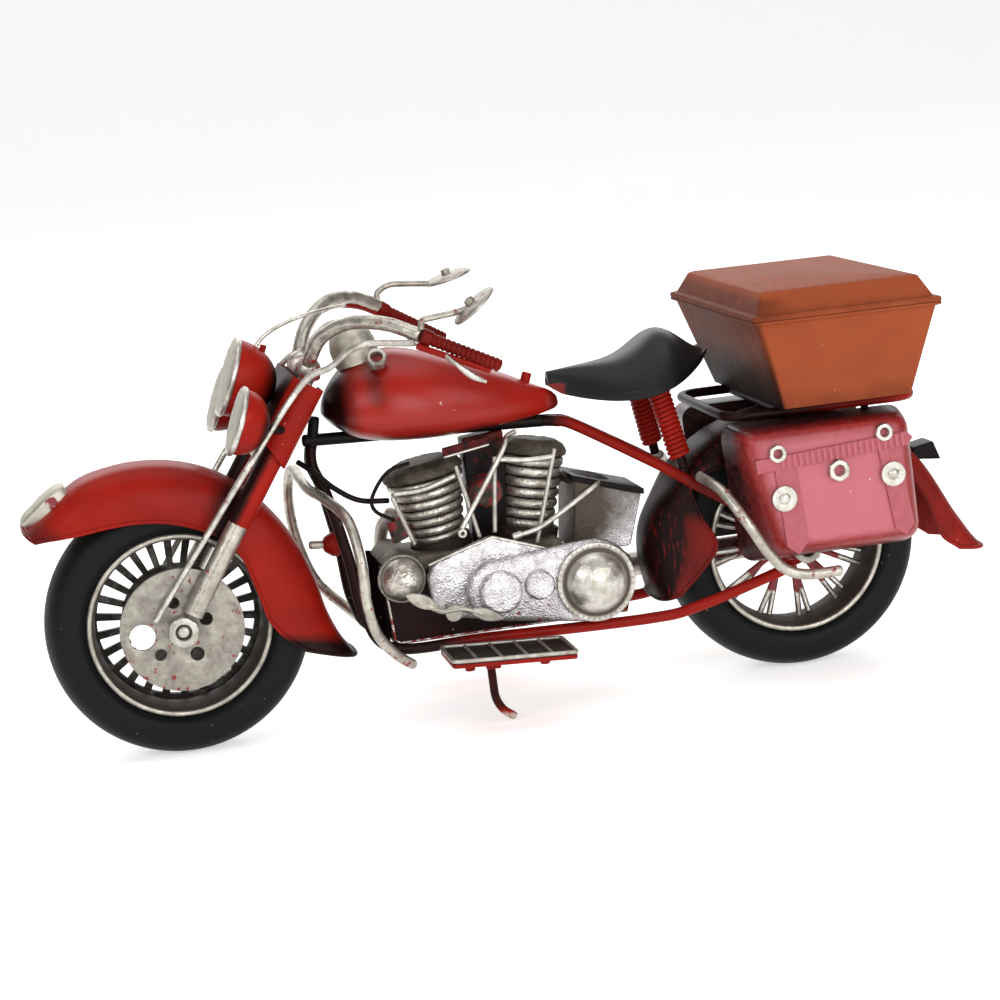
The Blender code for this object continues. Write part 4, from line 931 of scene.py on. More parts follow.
# Each mirror: the dish's middle, how many degrees it leans back, and the points of its stem.
MIRRORS = {"left": ((92.6, -38.6, 128.6), 39.0,
                    [(76.6, -38.4, 123.4), (77.0, -38.6, 126.0), (80.4, -38.6, 126.6), (86.4, -38.6, 127.2),
                     (91.6, -38.6, 128.2)]),
           "right": ((99.6, 38.6, 129.9), 14.5,
                     [(76.6, 38.4, 124.6), (76.8, 38.6, 127.6), (80.6, 38.6, 129.6), (86.0, 38.6, 129.4),
                      (93.6, 38.6, 128.6)])}
for side, sign in both_sides():
    centre, tilt, stem = MIRRORS[side]
    tilt = math.radians(tilt)
    up_way = np.array((-math.sin(tilt), 0.0, math.cos(tilt)))
    dish = softened([(0, 1.3), (4.4, 1.25), (6.6, 0.75), (7.55, 0.35), (7.5, -0.45), (6.6, -0.4), (5.8, 0.1),
                     (0, 0.1)], 0.35, False)
    mirror = joined(turned(dish, centre, up_way, 56), tube(smooth_route(stem, 10), 0.95, 14),
                    nut(np.array(centre) + up_way * 1.1, up_way, 2.7, 1.7, 0.7, 0.3))
    make(f"mirror_dish_{side}", mirror, SILVER, "steering", [f"mirror_{side}"], shade_and_wash=0.2, tint=0.12)

# %% [markdown]
# ## Frame wires
# The frame is bent from thick wire, sprayed black round the head and red towards the rear wheel.
# Each tube is a circle carried along a smooth curve through the bends' own points.

# %% Frame
def front_black(x, y, z):
    """The airbrush fades from black at the head to red past the engine's front."""
    return 0.95 * fade(x, 104, 60) + 0.15


backbone = joined(bent_wire([(43.3, 0, 89.6), (60, 0, 88.9), (90, 0, 87.8), (120.6, 0, 86.6)], 1.9, 18),
                  bent_wire([(47.8, 0, 96.6), (46.4, 0, 89.4), (45.0, 0, 83.4)], WIRE, 18))
make("backbone_wire", backbone, BLACK, "root", ["backbone_tube"], tint=lambda x, y, z: 0.3 * fade(x, 90, 120))
for side, sign in both_sides():
    cradle = [(45.6, 0.7 * sign, 87.6), (45.4, 2.4 * sign, 81.6), (48.4, 5 * sign, 73), (52.4, 9 * sign, 54),
              (55.2, 12 * sign, 36), (63, 15.4 * sign, 25.6), (92, 16 * sign, 25), (141, 17 * sign, 24.2),
              (158, 18.5 * sign, 26.4), (188.2, 20 * sign, 35.2)]
    stay = [(117.6, 0.7 * sign, 86.7), (121.6, 1.9 * sign, 86.3), (127, 3.4 * sign, 84.6),
            (146, 11 * sign, 73.2), (153.5, 16.5 * sign, 68.4), (162, 19.4 * sign, 62.5),
            (176, 19.8 * sign, 53.6), (189.2, 19.6 * sign, 45.2)]
    make(f"cradle_wire_{side}", bent_wire(cradle, WIRE, 18, 14), RED, "root", [f"cradle_tube_{side}"],
         shade_and_wash=front_black, tint=0.04)
    make(f"seat_stay_wire_{side}", bent_wire(stay, WIRE, 18), RED, "root", [f"seat_stay_{side}"],
         shade_and_wash=lambda x, y, z: 0.6 * fade(x, 128, 118) + 0.25 + 0.3 * fade(x, 150, 160))
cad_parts["head_tube"].data.materials.clear()
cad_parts["head_tube"].data.materials.append(BLACK)

# %% [markdown]
# ## Tank
# Two pressed halves make a teardrop: blunt nose, highest a third of the way back, then a straight
# run down to a point. Its top, its underside and its widest line are smooth curves, and each
# section between them is an ellipse with its sides squared a little. Black painted shade sits on
# the nose, along the belly and in a cloud behind the nose; the rest of the flank carries the one
# long highlight.

# %% Tank surface
TANK_TOP = [(50, 97.5), (50.6, 100.6), (52.5, 104.4), (55.2, 107.9), (58.8, 111), (67, 114), (75.4, 114.3),
            (90.9, 109.6), (105.1, 103.6), (115.8, 98.4), (120.6, 96.0), (122.6, 94.2),
            (123.2, 92.4)]
TANK_UNDER = [(50, 97), (50.8, 95.8), (52, 94.4), (54.4, 92.2), (59.7, 89.0), (70.4, 86.8), (88.7, 86.3),
              (111, 88), (120, 89.6), (122.6, 90.6), (123.2, 91.8)]
TANK_WIDEST = [(50, 97.2), (62, 96.6), (90, 94.4), (123.2, 91.8)]


def height_on(outline, x):
    """Height of a smooth outline at each x."""
    curve = smooth_route(outline, 16)
    return np.interp(x, curve[:, 0], curve[:, 1])


def tank_grid(rows=120, columns=80):
    """Half width 18.3 t^0.46 (1-t)^0.92 / 0.4155, with t from nose to tail; sections |cos|^0.85."""
    t = 0.5 - 0.5 * np.cos(np.pi * np.linspace(0.004, 0.996, rows))
    x = 50.0 + 73.2 * t
    half = np.maximum(18.3 * t ** 0.46 * (1 - t) ** 0.92 / 0.4155, 14.0 * t * np.sqrt(1 - t) * (t > 0.85))
    middle = height_on(TANK_WIDEST, x)
    over, under = height_on(TANK_TOP, x) - middle, middle - height_on(TANK_UNDER, x)
    a = np.linspace(0, 2 * np.pi, columns, endpoint=False)[None, :]
    rise_up, out = np.sin(a), np.cos(a)
    z = middle[:, None] + np.where(rise_up > 0, over[:, None], under[:, None]) * rise_up
    y = half[:, None] * np.sign(out) * np.abs(out) ** 0.85
    return np.stack(np.broadcast_arrays(x[:, None], y, z), axis=-1)


def tank_painted_shade(x, y, z):
    """Painted shade: nose, belly and tail tip dark, and a soft cloud of it on the shoulder behind the nose.
    """
    nose = fade(x, 63.5, 51.5)
    belly = 0.75 * fade(z, 91.5, 86.4) * fade(x, 112, 96)
    shoulder = 0.52 * np.exp(-((x - 65.0) / 3.2) ** 2) * fade(z, 96, 103)
    tail = 0.55 * fade(x, 116, 123)
    return np.maximum.reduce([nose, belly, shoulder, tail])


make("fuel_tank_pressing", skin(tank_grid()), TANK_RED, "root", ["fuel_tank"], shade_and_wash=tank_painted_shade)
dash_outline = np.vstack([dome(6.8, 7.4, 2.4, 12)[:-2], [(7.1, 1.6), (7.1, -4.0), (0, -4.0)]])
dash = turned(dash_outline, (61.8, 0, 115.6), (-0.26, 0, 1), 64)
make("dash_dome", dented(dash, 4.0, 0.15), LENS, "root", ["dash_cover"], shade_and_wash=0.1)
make("tank_filler_nut", nut((66.8, -11.6, 112.4), (-0.1, -0.8, 0.6), 5.6, 3.0, 1.7, 0.5), SILVER, "root",
     tint=0.2, shade_and_wash=lambda x, y, z: 0.3 * fade(z, 114, 112))
tank_bolt = spun([(0, 1.8), (1.5, 1.8), (1.5, -1.5), (0, -1.5)], 0.5, (113.8, 0, 100.4), (0.35, 0, 1), 24)
make("tank_rear_bolt", tank_bolt, RED, "root", tint=0.2)
print("tank:", tank_grid().shape[:2], "grid")


# %% [markdown]
# ## Saddle and springs
# The saddle is pressed sheet: a narrow rolled nose, wings that droop, and a hump at the back. Its
# crown line is a gentle sine plus one bell curve, and across it the height falls off with a power.
# Two springs of red wire hold it up; each is a true helix.

# %% Saddle sheet
def saddle_grid(rows=72, columns=45, thick=3.4):
    """Upper sheet from wing to wing, then the under side back again, closed round each section."""
    t = np.linspace(0.0, 1.0, rows)[:, None]
    x = 120.2 + 50.0 * t
    reach = 2.0 + 20.0 * np.sin(np.pi * np.minimum(1.0, (0.02 + 0.98 * t) ** 1.25) * 0.93) ** 1.15
    crown = 101.6 + 1.6 * np.sin(np.pi * t) + 8.2 * np.exp(-((t - 0.72) / 0.2) ** 2)
    edge = 98.4 - 4.4 * np.sin(np.pi * t ** 0.85) + 5.4 * t ** 3
    s = np.linspace(-1, 1, columns)[None, :]
    high = crown + (edge - crown) * np.abs(s) ** 2.4
    depth = thick * (1 - 0.35 * np.abs(s) ** 3) * np.clip(np.minimum(t * 14, (1 - t) * 18), 0.3, 1) ** 0.5
    upper = np.stack(np.broadcast_arrays(x, reach * s, high), axis=-1)
    lower = np.stack(np.broadcast_arrays(x, reach * s * 0.97, high - depth), axis=-1)
    return np.concatenate([upper, lower[:, ::-1]], axis=1)


# Painted shade darkens the drooping sides of the saddle towards its edges.
make("saddle_pressing", skin(saddle_grid()), SADDLE, "root", ["saddle"],
     shade_and_wash=lambda x, y, z: 0.45 * fade(np.abs(y), 12, 21), crease=50,
     tint=lambda x, y, z: 0.62 * fade(x, 128, 123) * fade(z, 98.8, 97.6))


def coil(base, direction, length, radius, wire, turns, points_per_turn=22):
    """Helix: base + direction t + radius (cos side + sin up), wound turns times."""
    along, side_way, rise_up = axes_of(direction)
    t = np.linspace(0, 1, turns * points_per_turn)
    a = 2 * np.pi * turns * t[:, None]
    line = np.asarray(base, float) + (t * length)[:, None] * along
    return tube(line + radius * (np.cos(a) * side_way + np.sin(a) * rise_up), wire, 8)


for side, sign in both_sides():
    lean_way = np.array((-4.3, -2.4 * sign, 20.0))
    foot = np.array((155.9, 16.4 * sign, 73.4))
    top = foot + unit(lean_way) * 20.6
    spring = joined(coil(foot, lean_way, 20.6, 2.75, 0.76, 14),
                    tube(straight_route(foot - unit(lean_way) * 4.5, top + unit(lean_way) * 2.5), 1.5, 14))
    # Painted shade darkens the inside of each coil and the rod in its middle.
    make(f"saddle_spring_coil_{side}", spring, RED, "root", [f"saddle_spring_{side}"],
         shade_and_wash=lambda x, y, z, foot=foot, axis=unit(lean_way): 1.0 - 0.9 * fade(
             np.linalg.norm(np.cross(np.stack([x, y, z], -1) - foot, axis), axis=-1), 2.3, 3.1))
print("each spring winds", 14, "turns in 20.6 mm")


# %% [markdown]
# ## Engine
# A V-twin built from scraps: two ribbed barrels with flared caps, a beaten case, a hammered side
# cover, a domed clutch in a ring of dots, and thin rods in front. The barrels are turned profiles
# whose radius waves once per rib; the grooves between them are darker.

# %% Barrels and caps
def ribbed_barrel(base, lean_angle, low, top, height, ribs, rows_per_rib=14, steps=72):
    """Radius = straight taper, less 1.25 mm in each groove: ribs stand where |sin| is large."""
    count = ribs * rows_per_rib + 1
    t = np.linspace(0, 1, count)
    round_rib = np.abs(np.sin(np.pi * ribs * t)) ** 0.55
    radius = low + (top - low) * t - 1.25 + 1.25 * round_rib
    profile = np.vstack([[(0, height)], np.column_stack([radius, height * t])[::-1], [(0, 0)]])
    shape = turned(profile, base, (math.sin(lean_angle), 0, math.cos(lean_angle)), steps)
    groove = np.concatenate([[0.5], (1.0 - round_rib)[::-1], [0.5]])
    return dented(shape, 3.0, 0.14), per_row(len(profile), steps, groove)


def flared_cap(base, lean_angle, height, radius):
    """Rough cast cap: a lip that flares over the barrel, a sloping shoulder and a dished top."""
    axis = np.array((math.sin(lean_angle), 0, math.cos(lean_angle)))
    outline = [(0, 4.4), (radius * 0.62, 4.7), (radius * 0.9, 3.2), (radius, 1.4), (radius * 0.985, 0.0),
               (0, 0.0)]
    shape = spun(outline, 0.7, np.array(base, float) + axis * (height + 0.3), axis, 64)
    return dented(shape, 2.4, 0.3)


CYLINDERS = {"front": ((82.4, 0, 54.3), math.radians(-9), 7.8, 12.3, 20.4, 12.6),
             "rear": ((110.0, 0, 54.6), math.radians(10), 8.0, 9.7, 22.6, 10.2)}
for number, (base, lean_angle, low, top, height, cap_radius) in CYLINDERS.items():
    shape, groove = ribbed_barrel(base, lean_angle, low, top, height, 7)
    foot = spun([(0, 0.6), (low + 1.6, 0.6), (low + 1.6, -4.4), (0, -4.4)], 0.5, base,
                (math.sin(lean_angle), 0, math.cos(lean_angle)), 48)
    make(f"barrel_{number}", shape, CASTING, "root", [f"cylinder_{number}"], shade_and_wash=groove * 0.95)
    make(f"barrel_foot_{number}", foot, SOOT, "root", shade_and_wash=0.7)
    make(f"barrel_cap_{number}", flared_cap(base, lean_angle, height, cap_radius), SOOT, "root",
         [f"cylinder_head_{number}"], shade_and_wash=0.35)


# %% Case, covers and domes
case = plate(softened([(65.0, 28.0), (133.5, 28.0), (133.5, 42.0), (120, 45.4), (117.5, 52.4), (72, 52.4),
                       (63.4, 48.6)], 2.4), -12.3, 12.3, 1.2)
make("crankcase_casting", dented(case, 5.0, 0.2), SOOT, "root", ["crankcase"], shade_and_wash=0.3)
round_front = spun([(0, 13.2), (6.4, 13.2), (6.4, -13.2), (0, -13.2)], 1.0, (68.0, 0, 47.6), LEFT, 48)
make("crankcase_nose", round_front, SOOT, "root", shade_and_wash=0.25)
timing_outline = softened([(80.0, 33.2), (98, 30.2), (112.5, 30.2), (112.5, 50.2), (95.2, 56.4), (77.0, 50.6),
                           (74.4, 46.0), (75.6, 37.0)], 1.6)
make("timing_cover_plate", plate(timing_outline, -18.7, -14.3, 0.9), HAMMERED, "root", ["timing_cover"],
     shade_and_wash=lambda x, y, z: 0.5 * fade(z, 37, 31) + 0.25 * fade(x, 80, 75))
edge_wire = tube(np.array([(75.0, -18.6, 50.2), (85.0, -18.6, 53.3), (95.2, -18.6, 56.2),
                           (104.0, -18.6, 53.2), (112.3, -18.6, 50.2)]), 0.42, 10)
make("timing_cover_rim", edge_wire, BRIGHT, "root")
GENERATOR_AT = (67.2, -14.2, 46.4)
generator = turned(dome(6.5, 8.0, 0.9, 18), GENERATOR_AT, LEFT, 64)
# Painted shade darkens the lower part of the dome.
make("generator_dome_cap", dented(generator, 3.6, 0.12), CASTING, "root", ["generator_dome"],
     shade_and_wash=lambda x, y, z: 0.75 * fade(z, 46.0, 41.0) - 0.15)
roll = np.linspace(0, 2 * np.pi, 14, endpoint=False)
lip = np.column_stack([7.0 + 0.45 * np.cos(roll), 0.4 + 0.5 * np.sin(roll)])
make("generator_lip", turned(lip, GENERATOR_AT, LEFT, 64, loop=True), CASTING, "root", shade_and_wash=0.4)


def belt_outline(front, rear, count=24):
    """Outline of a belt round two circles of (x, z, radius)."""
    spread = math.hypot(rear[0] - front[0], rear[1] - front[1])
    lean_angle = math.atan2(rear[1] - front[1], rear[0] - front[0])
    open_angle = math.acos((front[2] - rear[2]) / spread)
    arcs = [(front, np.linspace(lean_angle + open_angle, lean_angle + 2 * math.pi - open_angle, count)),
            (rear, np.linspace(lean_angle - open_angle, lean_angle + open_angle, count))]
    return np.vstack([np.column_stack([x + r * np.cos(a), z + r * np.sin(a)]) for (x, z, r), a in arcs])


CLUTCH = (124.7, 39.5)
cover = plate(belt_outline((94.8, 40.4, 9.4), (*CLUTCH, 12.8)), -23.4, -19.0, 2.0)
caps = [spun([(0, 3.6), (5.6, 3.6), (6.5, 2.9), (6.5, 0), (0, 0)], 0.4, (95.2, -22.9, 40.4), LEFT, 56),
        spun([(0, 2.6), (3.9, 2.6), (4.6, 2.0), (4.6, 0), (0, 0)], 0.3, (107.3, -22.9, 40.9), LEFT, 48)]
make("primary_cover_pressing", joined(cover, *caps), HAMMERED, "root", ["primary_cover"],
     shade_and_wash=lambda x, y, z: 0.55 * fade(y, -23.8, -22.4) * fade(z, 42, 32) + 0.1,
     tint=lambda x, y, z: 0.22 * fade(z, 36, 30))
clutch_profile = [(0, 6.5), (2.4, 6.3), (5.2, 5.4), (7.8, 3.7), (9.2, 1.9), (9.6, 1.3), (10.4, 1.2),
                  (12.2, 1.4), (12.2, 0), (0, 0)]


def clutch_wash(x, y, z):
    """Brown gathers in the groove 10 mm from the middle, as a narrow bell curve."""
    out = np.hypot(x - CLUTCH[0], z - CLUTCH[1])
    return 0.95 * np.exp(-((out - 10.0) / 0.7) ** 2) + 0.12


clutch_shape = spun(clutch_profile, 0.8, (CLUTCH[0], -23.8, CLUTCH[1]), LEFT, 96)
make("clutch_dome_pressing", clutch_shape, BRIGHT, "root", ["clutch_dome"], shade_and_wash=clutch_wash)
dot = turned(dome(0.42, 0.45, 0.1, 4), (CLUTCH[0] + 11.4, -25.0, CLUTCH[1]), LEFT, 8)
make("clutch_dot_ring", ring_of(dot, 40, np.array((CLUTCH[0], 0.0, CLUTCH[1]))), BRIGHT, "root", shade_and_wash=0.15)
gear_case = plate(softened([(112, 30), (139, 30), (139, 44.5), (112, 46)], 2.0), -13.0, 13.0, 1.0)
make("gearbox_casting", dented(gear_case, 4.0, 0.2), SOOT, "root", shade_and_wash=0.3)

# %% Tray under the engine
def tray_grid(rows=30):
    """Folded tray: the section goes down one side, across the floor and up the other."""
    t = np.linspace(0, 1, rows)[:, None]
    floor_x, rim_x = 63 + 73 * t, 60.8 + 77.2 * t
    rim_z = 51.0 - 16.0 * t
    u = np.linspace(-1, 1, 33)[None, :]
    climb = np.clip((np.abs(u) - 0.5) / 0.5, 0, 1)
    y = 13.9 * np.clip(np.abs(u) / 0.5, 0, 1) ** 0.9 * np.sign(u)
    z = 26.6 + (rim_z - 26.6) * climb ** 1.15
    return np.stack(np.broadcast_arrays(floor_x + (rim_x - floor_x) * climb, y, z), axis=-1)


ACROSS = ((0, 1, 0), (0, 0, 1), (1, 0, 0))      # outlines drawn in y and z, thickness along x
tray_ends = [plate(softened([(-13.6, 26.4), (13.6, 26.4), (13.9, top_z), (-13.9, top_z)], 0.8), 0, 0.8, 0.3,
                   ACROSS, (x, 0, 0)) for x, top_z in ((61.2, 50.6), (135.4, 35.2))]
# The tray's ends are near-black painted shade under the engine.
make("engine_tray_ends", joined(*tray_ends), TRAY_SHADE_BLACK, "root")
# Painted shade under the engine darkens the tray sheet, a little less towards the rear.
make("engine_tray_sheet", shell(tray_grid(), 0.6), RED, "root", ["engine_tray"],
     shade_and_wash=lambda x, y, z: 0.8 - 0.25 * fade(x, 100, 136))
tray_rim = tube(np.vstack([straight_route((61.6, -14.0, 50.4), (63.4, -14.0, 27.6), 8),
                           straight_route((65.0, -14.0, 26.6), (136.0, -14.0, 27.2), 16)]), 0.42, 10)
make("tray_edge_wire", tray_rim, CASTING, "root", tint=0.4)

# %% Rods, lines and cables in front of the barrels
rods = [((67.2, -11.6, 71.0), (72.7, -11.6, 55.6)), ((87.1, -13.4, 78.4), (92.2, -14.6, 55.8)),
        ((99.4, -12.6, 79.6), (97.0, -14.2, 56.6)), ((118.2, -12.2, 79.6), (109.6, -14.6, 51.8))]
make("pushrods", joined(*[tube(straight_route(*ends, 10), 0.72, 12) for ends in rods]), BRIGHT, "root",
     shade_and_wash=0.3)
rims = [smooth_route([(67.6, -11.8, 71.8), (76.6, -14.0, 72.6), (86.6, -13.2, 75.4)]),
        smooth_route([(100.0, -12.2, 78.6), (108.6, -13.2, 77.4), (118.0, -12.0, 77.2)])]
make("barrel_rim_wires", joined(*[tube(route, 0.85, 12) for route in rims]), BRIGHT, "root", shade_and_wash=0.15)
line_front = [(107.6, -7.5, 85.6), (104.2, -9.4, 84.4), (101.6, -12.6, 80.4), (85.6, -16.4, 58.0)]
line_end = nut((86.4, -16.6, 58.4), LEFT, 2.6, 1.8, 0.6)
make("oil_line_front_pipe", joined(tube(smooth_route(line_front, 10), 0.85, 14), line_end), BRIGHT, "root",
     ["oil_line_front"], shade_and_wash=0.15)
line_rear = [(131.5, -10.6, 67.4), (127.5, -12.8, 65.4), (112.0, -15.6, 57.2), (104.0, -16.2, 55.2)]
rear_fitting = spun([(0, 3.0), (1.2, 3.0), (1.2, 0), (0, 0)], 0.3, (104.8, -16.2, 55.6), (-1, 0, -0.25), 20)
make("oil_line_rear_pipe", joined(tube(smooth_route(line_rear, 12), 0.8, 14), rear_fitting), BRIGHT, "root",
     shade_and_wash=0.15)
hoses = joined(bent_wire([(40.6, -4, 84.2), (45.4, -7, 80.4), (50.5, -9, 75.4), (57.5, -9.5, 71.0),
                          (66.6, -9.0, 69.6)], 0.85, 12),
               bent_wire([(73.6, -10.8, 80.6), (66.4, -12.2, 78.8), (61.2, -12.4, 72.2), (61.6, -12, 67.6),
                          (67.4, -10, 63.6)], 0.6, 10))
make("black_hoses", hoses, BLACK, "root")
intake = joined(spun([(0, 9), (4.4, 9), (5.4, 3), (5.4, -3), (4.4, -9), (0, -9)], 0.8, (97.2, 0, 68), LEFT,
                     32),
                spun([(0, 6.6), (2.4, 6.6), (3.6, 0), (0, 0)], 0.6, (70.5, -4, 56.8), (-0.45, 0, 1), 24))
make("carburettor_casting", dented(intake, 2.6, 0.3), SOOT, "root", shade_and_wash=0.4, tint=0.35)
bracket = plate(softened([(84.2, 83.4), (98.8, 85.6), (98.8, 82.8), (84.4, 80.6)], 0.4), -9.8, -8.0, 0.3)
panel = plate(softened([(91.6, 84.4), (104.6, 85.8), (104.0, 51.0), (92.6, 51.0)], 0.8), -3.0, 5.0, 0.5)
make("head_bracket", joined(bracket, panel), BLACK, "root", shade_and_wash=0.3,
     tint=lambda x, y, z: 0.42 * fade(z, 72, 80))
make("head_bracket_edge", tube(straight_route((84.4, -9.9, 80.8), (98.6, -9.9, 83.0), 8), 0.45, 10), BRIGHT,
     "root")

HORN_AT, HORN_AXIS = (51.6, 2.0, 56.4), (-1, 0, 0.08)
horn = spun([(0, 0.0), (3.7, 0.0), (3.9, 2.0), (2.4, 4.6), (1.3, 5.2), (0, 5.2)], 0.6, HORN_AT, HORN_AXIS, 32)
horn_tip = spun([(0, 9.4), (1.0, 9.4), (1.35, 8.6), (1.25, 4.9), (0, 4.9)], 0.3, HORN_AT, HORN_AXIS, 24)
make("horn_body", horn, RED, "root", shade_and_wash=0.25)
make("horn_tip", horn_tip, LENS, "root")

# %% Air box, exhaust, pedal and footboards
case_outline = softened([(123.6, 69.2), (144.6, 62.4), (139.6, 46.2), (121.6, 46.8)], 0.9)
make("air_box_sheet", dented(plate(case_outline, -11.0, 11.0, 0.8), 4.2, 0.35), HAMMERED, "root", ["air_box"],
     shade_and_wash=lambda x, y, z: 1.25 * fade(x + 0.5 * (56 - z), 132, 123.4)
     + 0.8 * fade(z + 0.32 * (x - 123.6), 67.4, 69.0))
lump = turned(dome(8.2, 3.2, 1.0), (128.6, -1, 66.2), (0.2, 0, 1), 40)
strip_outline = softened([(123.0, 70.4), (145.2, 63.6), (145.0, 61.8), (123.0, 68.6)], 0.3)
lid_strip = plate(strip_outline, -11.4, 11.4, 0.3)
make("air_box_lid", dented(lid_strip, 2.4, 0.3), BLACK, "root")
make("air_box_cover", dented(lump, 2.0, 0.6), SOOT, "root", shade_and_wash=0.8)

pipe_route = [(71.0, 14.2, 62.0), (67.6, 19.0, 56.0), (67.4, 22.6, 46.0), (70.5, 25.0, 36.6),
              (79.0, 26.4, 32.0), (96.0, 27.2, 31.2), (124.0, 27.6, 31.6)]
pipe = tube(smooth_route(pipe_route, 10), 2.2, 24)
silencer_x = np.array([122.5, 124.5, 130, 134, 204, 208, 212, 219])
silencer = tube(np.column_stack([silencer_x, np.full(8, 27.6), 31.6 + (silencer_x - 124) * 0.0253]),
                [2.2, 2.4, 3.7, 3.96, 3.96, 3.7, 2.9, 2.86], 32, round_end=0.1)
make("exhaust_silencer", joined(pipe, silencer), BRIGHT, "root", ["exhaust_pipe"], shade_and_wash=0.2, tint=0.1)


def pad(x, z, length, width, lean_angle, y):
    """Leaf-shaped pad: half width is half the sine of the way along, to the power 0.8."""
    t = np.linspace(0.0, 1.0, 22)
    out = width / 2 * np.sin(np.pi * t) ** 0.8
    along_pad = length * (t - 0.5)
    flat = np.vstack([np.column_stack([along_pad, out]), np.column_stack([along_pad, -out])[::-1][1:-1]])
    c, s = math.cos(lean_angle), math.sin(lean_angle)
    return plate(flat @ np.array([(c, s), (-s, c)]) + (x, z), y - 0.7, y + 0.7, 0.45)


pedal = joined(pad(70.6, 41.4, 11.5, 4.2, math.radians(-28), -27.4),
               pad(89.4, 34.8, 11.5, 3.8, math.radians(-22), -27.4),
               bent_wire([(71.5, -27.4, 40.4), (76.4, -27.4, 37.6), (82.6, -27.4, 37.4), (89.0, -27.4, 34.9)],
                         0.85, 14),
               spun([(0, 9.0), (2.6, 9.0), (2.6, 7.6), (1.4, 7.6), (1.4, 0), (0, 0)], 0.3,
                    (79.8, -19.0, 36.6), LEFT, 28))
make("shift_pedal_forging", pedal, SILVER, "root", ["shift_pedal"], shade_and_wash=0.22)

BOARD_LEAN = math.radians(3.2)
board_plane = np.array([(math.cos(BOARD_LEAN), 0, -math.sin(BOARD_LEAN)), (0, 1, 0),
                        (math.sin(BOARD_LEAN), 0, math.cos(BOARD_LEAN))])
for side, sign in both_sides():
    middle = np.array((94.8, 29.6 * sign, 23.2))
    outline = softened([(-19, -10.8), (19, -10.8), (19, 10.8), (-19, 10.8)], 1.6)
    floor_plate = plate(outline * 0.98, -0.6, 0.2, 0.2, board_plane, middle)
    rim_loop = middle + np.column_stack([outline * 0.985, np.full(len(outline), 0.5)]) @ board_plane
    ribs = [tube(middle + np.array([(x, y, 0.35) for y in (-10, -3, 3, 10)]) @ board_plane, 0.55, 10)
            for x in (-11.4, -3.8, 3.8, 11.4)]
    rim_shape = tube(rim_loop, 0.62, 10, loop=True)
    make(f"footboard_floor_{side}", floor_plate, SOOT, "root", [f"footboard_{side}"], shade_and_wash=0.55)
    make(f"footboard_rim_{side}", joined(rim_shape, *ribs), BRIGHT, "root", shade_and_wash=0.28, tint=0.08)
    bolts = [spun([(0, 1.4), (1.5, 1.4), (1.5, -1.6), (0, -1.6)], 0.4, (x, 35.6 * sign, z), (0, 0, -1), 20)
             for x, z in ((81.6, 21.8), (104.4, 20.8))]
    lug = plate(softened([(-2.2, -1.5), (2.2, -1.5), (2.2, 1.5), (-2.2, 1.5)], 0.4), 18.3, 22.8, 0.3, FLAT,
                (90.0, 28.0 * sign, 0))
    skirt = plate(outline, -1.6, -0.4, 0.2, board_plane, middle)
    make(f"footboard_underside_{side}", joined(skirt, lug, *bolts), RED, "root", shade_and_wash=0.15, tint=0.25)
stand_route = [(90.0, -24.0, 18.9), (90.2, -24.0, 13.0), (90.6, -24.0, 8.2), (92.6, -23.8, 4.2),
               (96.2, -23.6, 1.35)]
make("side_stand_wire", tube(smooth_route(stand_route, 10), 1.3, 18), RED, "side_stand", ["side_stand"],
     shade_and_wash=lambda x, y, z: 0.75 * fade(z, 2.5, 6.0), tint=lambda x, y, z: 0.5 * fade(z, 6, 2))
print("engine and controls dressed")


# %% [markdown]
# ## Guard bars, rack and luggage
# Guards are bent wire rubbed with silver over red, so red flecks show. The saddlebags are pressed
# boxes painted red: a pink painted sheen lies on the middle of the flat outer face and on the straps,
# black painted shade lies towards the wheel and down the front edge, and the rounded rim stays deep.
# Straps are raised strips, and real hex nuts and washers stand for buckles.

# %% Guard bars and rack
crash_route = [(67.5, -18.4, 20.4), (61.5, -25, 26.0), (55.6, -31, 34.4), (53.2, -33, 45), (52.9, -32.4, 57),
               (51.2, -25, 68.4), (46.4, -12, 73.4), (43.4, -3, 75.0), (42.4, 8, 76.8), (42.0, 20, 78.0),
               (41.4, 29, 74.4), (41.0, 32.6, 64), (42.6, 32.6, 52), (46.8, 31, 40), (54.0, 26.4, 32),
               (59.5, 19.6, 27.0)]
make("crash_bar_wire", tube(smooth_route(crash_route, 12), 1.6, 20), SILVER, "root", ["crash_bar"],
     shade_and_wash=lambda x, y, z: 0.12 * fade(z, 62, 72), tint=lambda x, y, z: 0.12 * fade(z, 52, 36) + 0.08)
for side, sign in both_sides():
    guard = [(159.4, 23.6 * sign, 67.6), (163.4, 34 * sign, 64), (168.4, 40.6 * sign, 55),
             (173.8, 41 * sign, 45.6), (179.2, 41 * sign, 39.2), (186, 41 * sign, 36.6),
             (197, 40.6 * sign, 36.3)]
    make(f"guard_bar_wire_{side}", bent_wire(guard, 1.65, 20), SILVER, "root", [f"guard_bar_{side}"],
         shade_and_wash=-0.1, tint=0.16)


def rounded_rectangle(x0, x1, y0, y1, radius, corner=7):
    """Plan outline with quarter circles at its corners."""
    a = np.radians(np.linspace(0, 90, corner))
    corners = [(x1 - radius, y1 - radius, 0), (x0 + radius, y1 - radius, 90), (x0 + radius, y0 + radius, 180),
               (x1 - radius, y0 + radius, 270)]
    return np.vstack([np.column_stack([cx + radius * np.cos(a + math.radians(turn)),
                                       cy + radius * np.sin(a + math.radians(turn))])
                      for cx, cy, turn in corners])


RACK_Z = 84.9
loop = rounded_rectangle(168.5, 228, -29, 29, 7)
rack = joined(tube(np.column_stack([loop, np.full(len(loop), RACK_Z)]), 1.5, 16, loop=True),
              *[tube(straight_route((x, -29, RACK_Z), (x, 29, RACK_Z)), 1.3, 14) for x in (186, 207)])
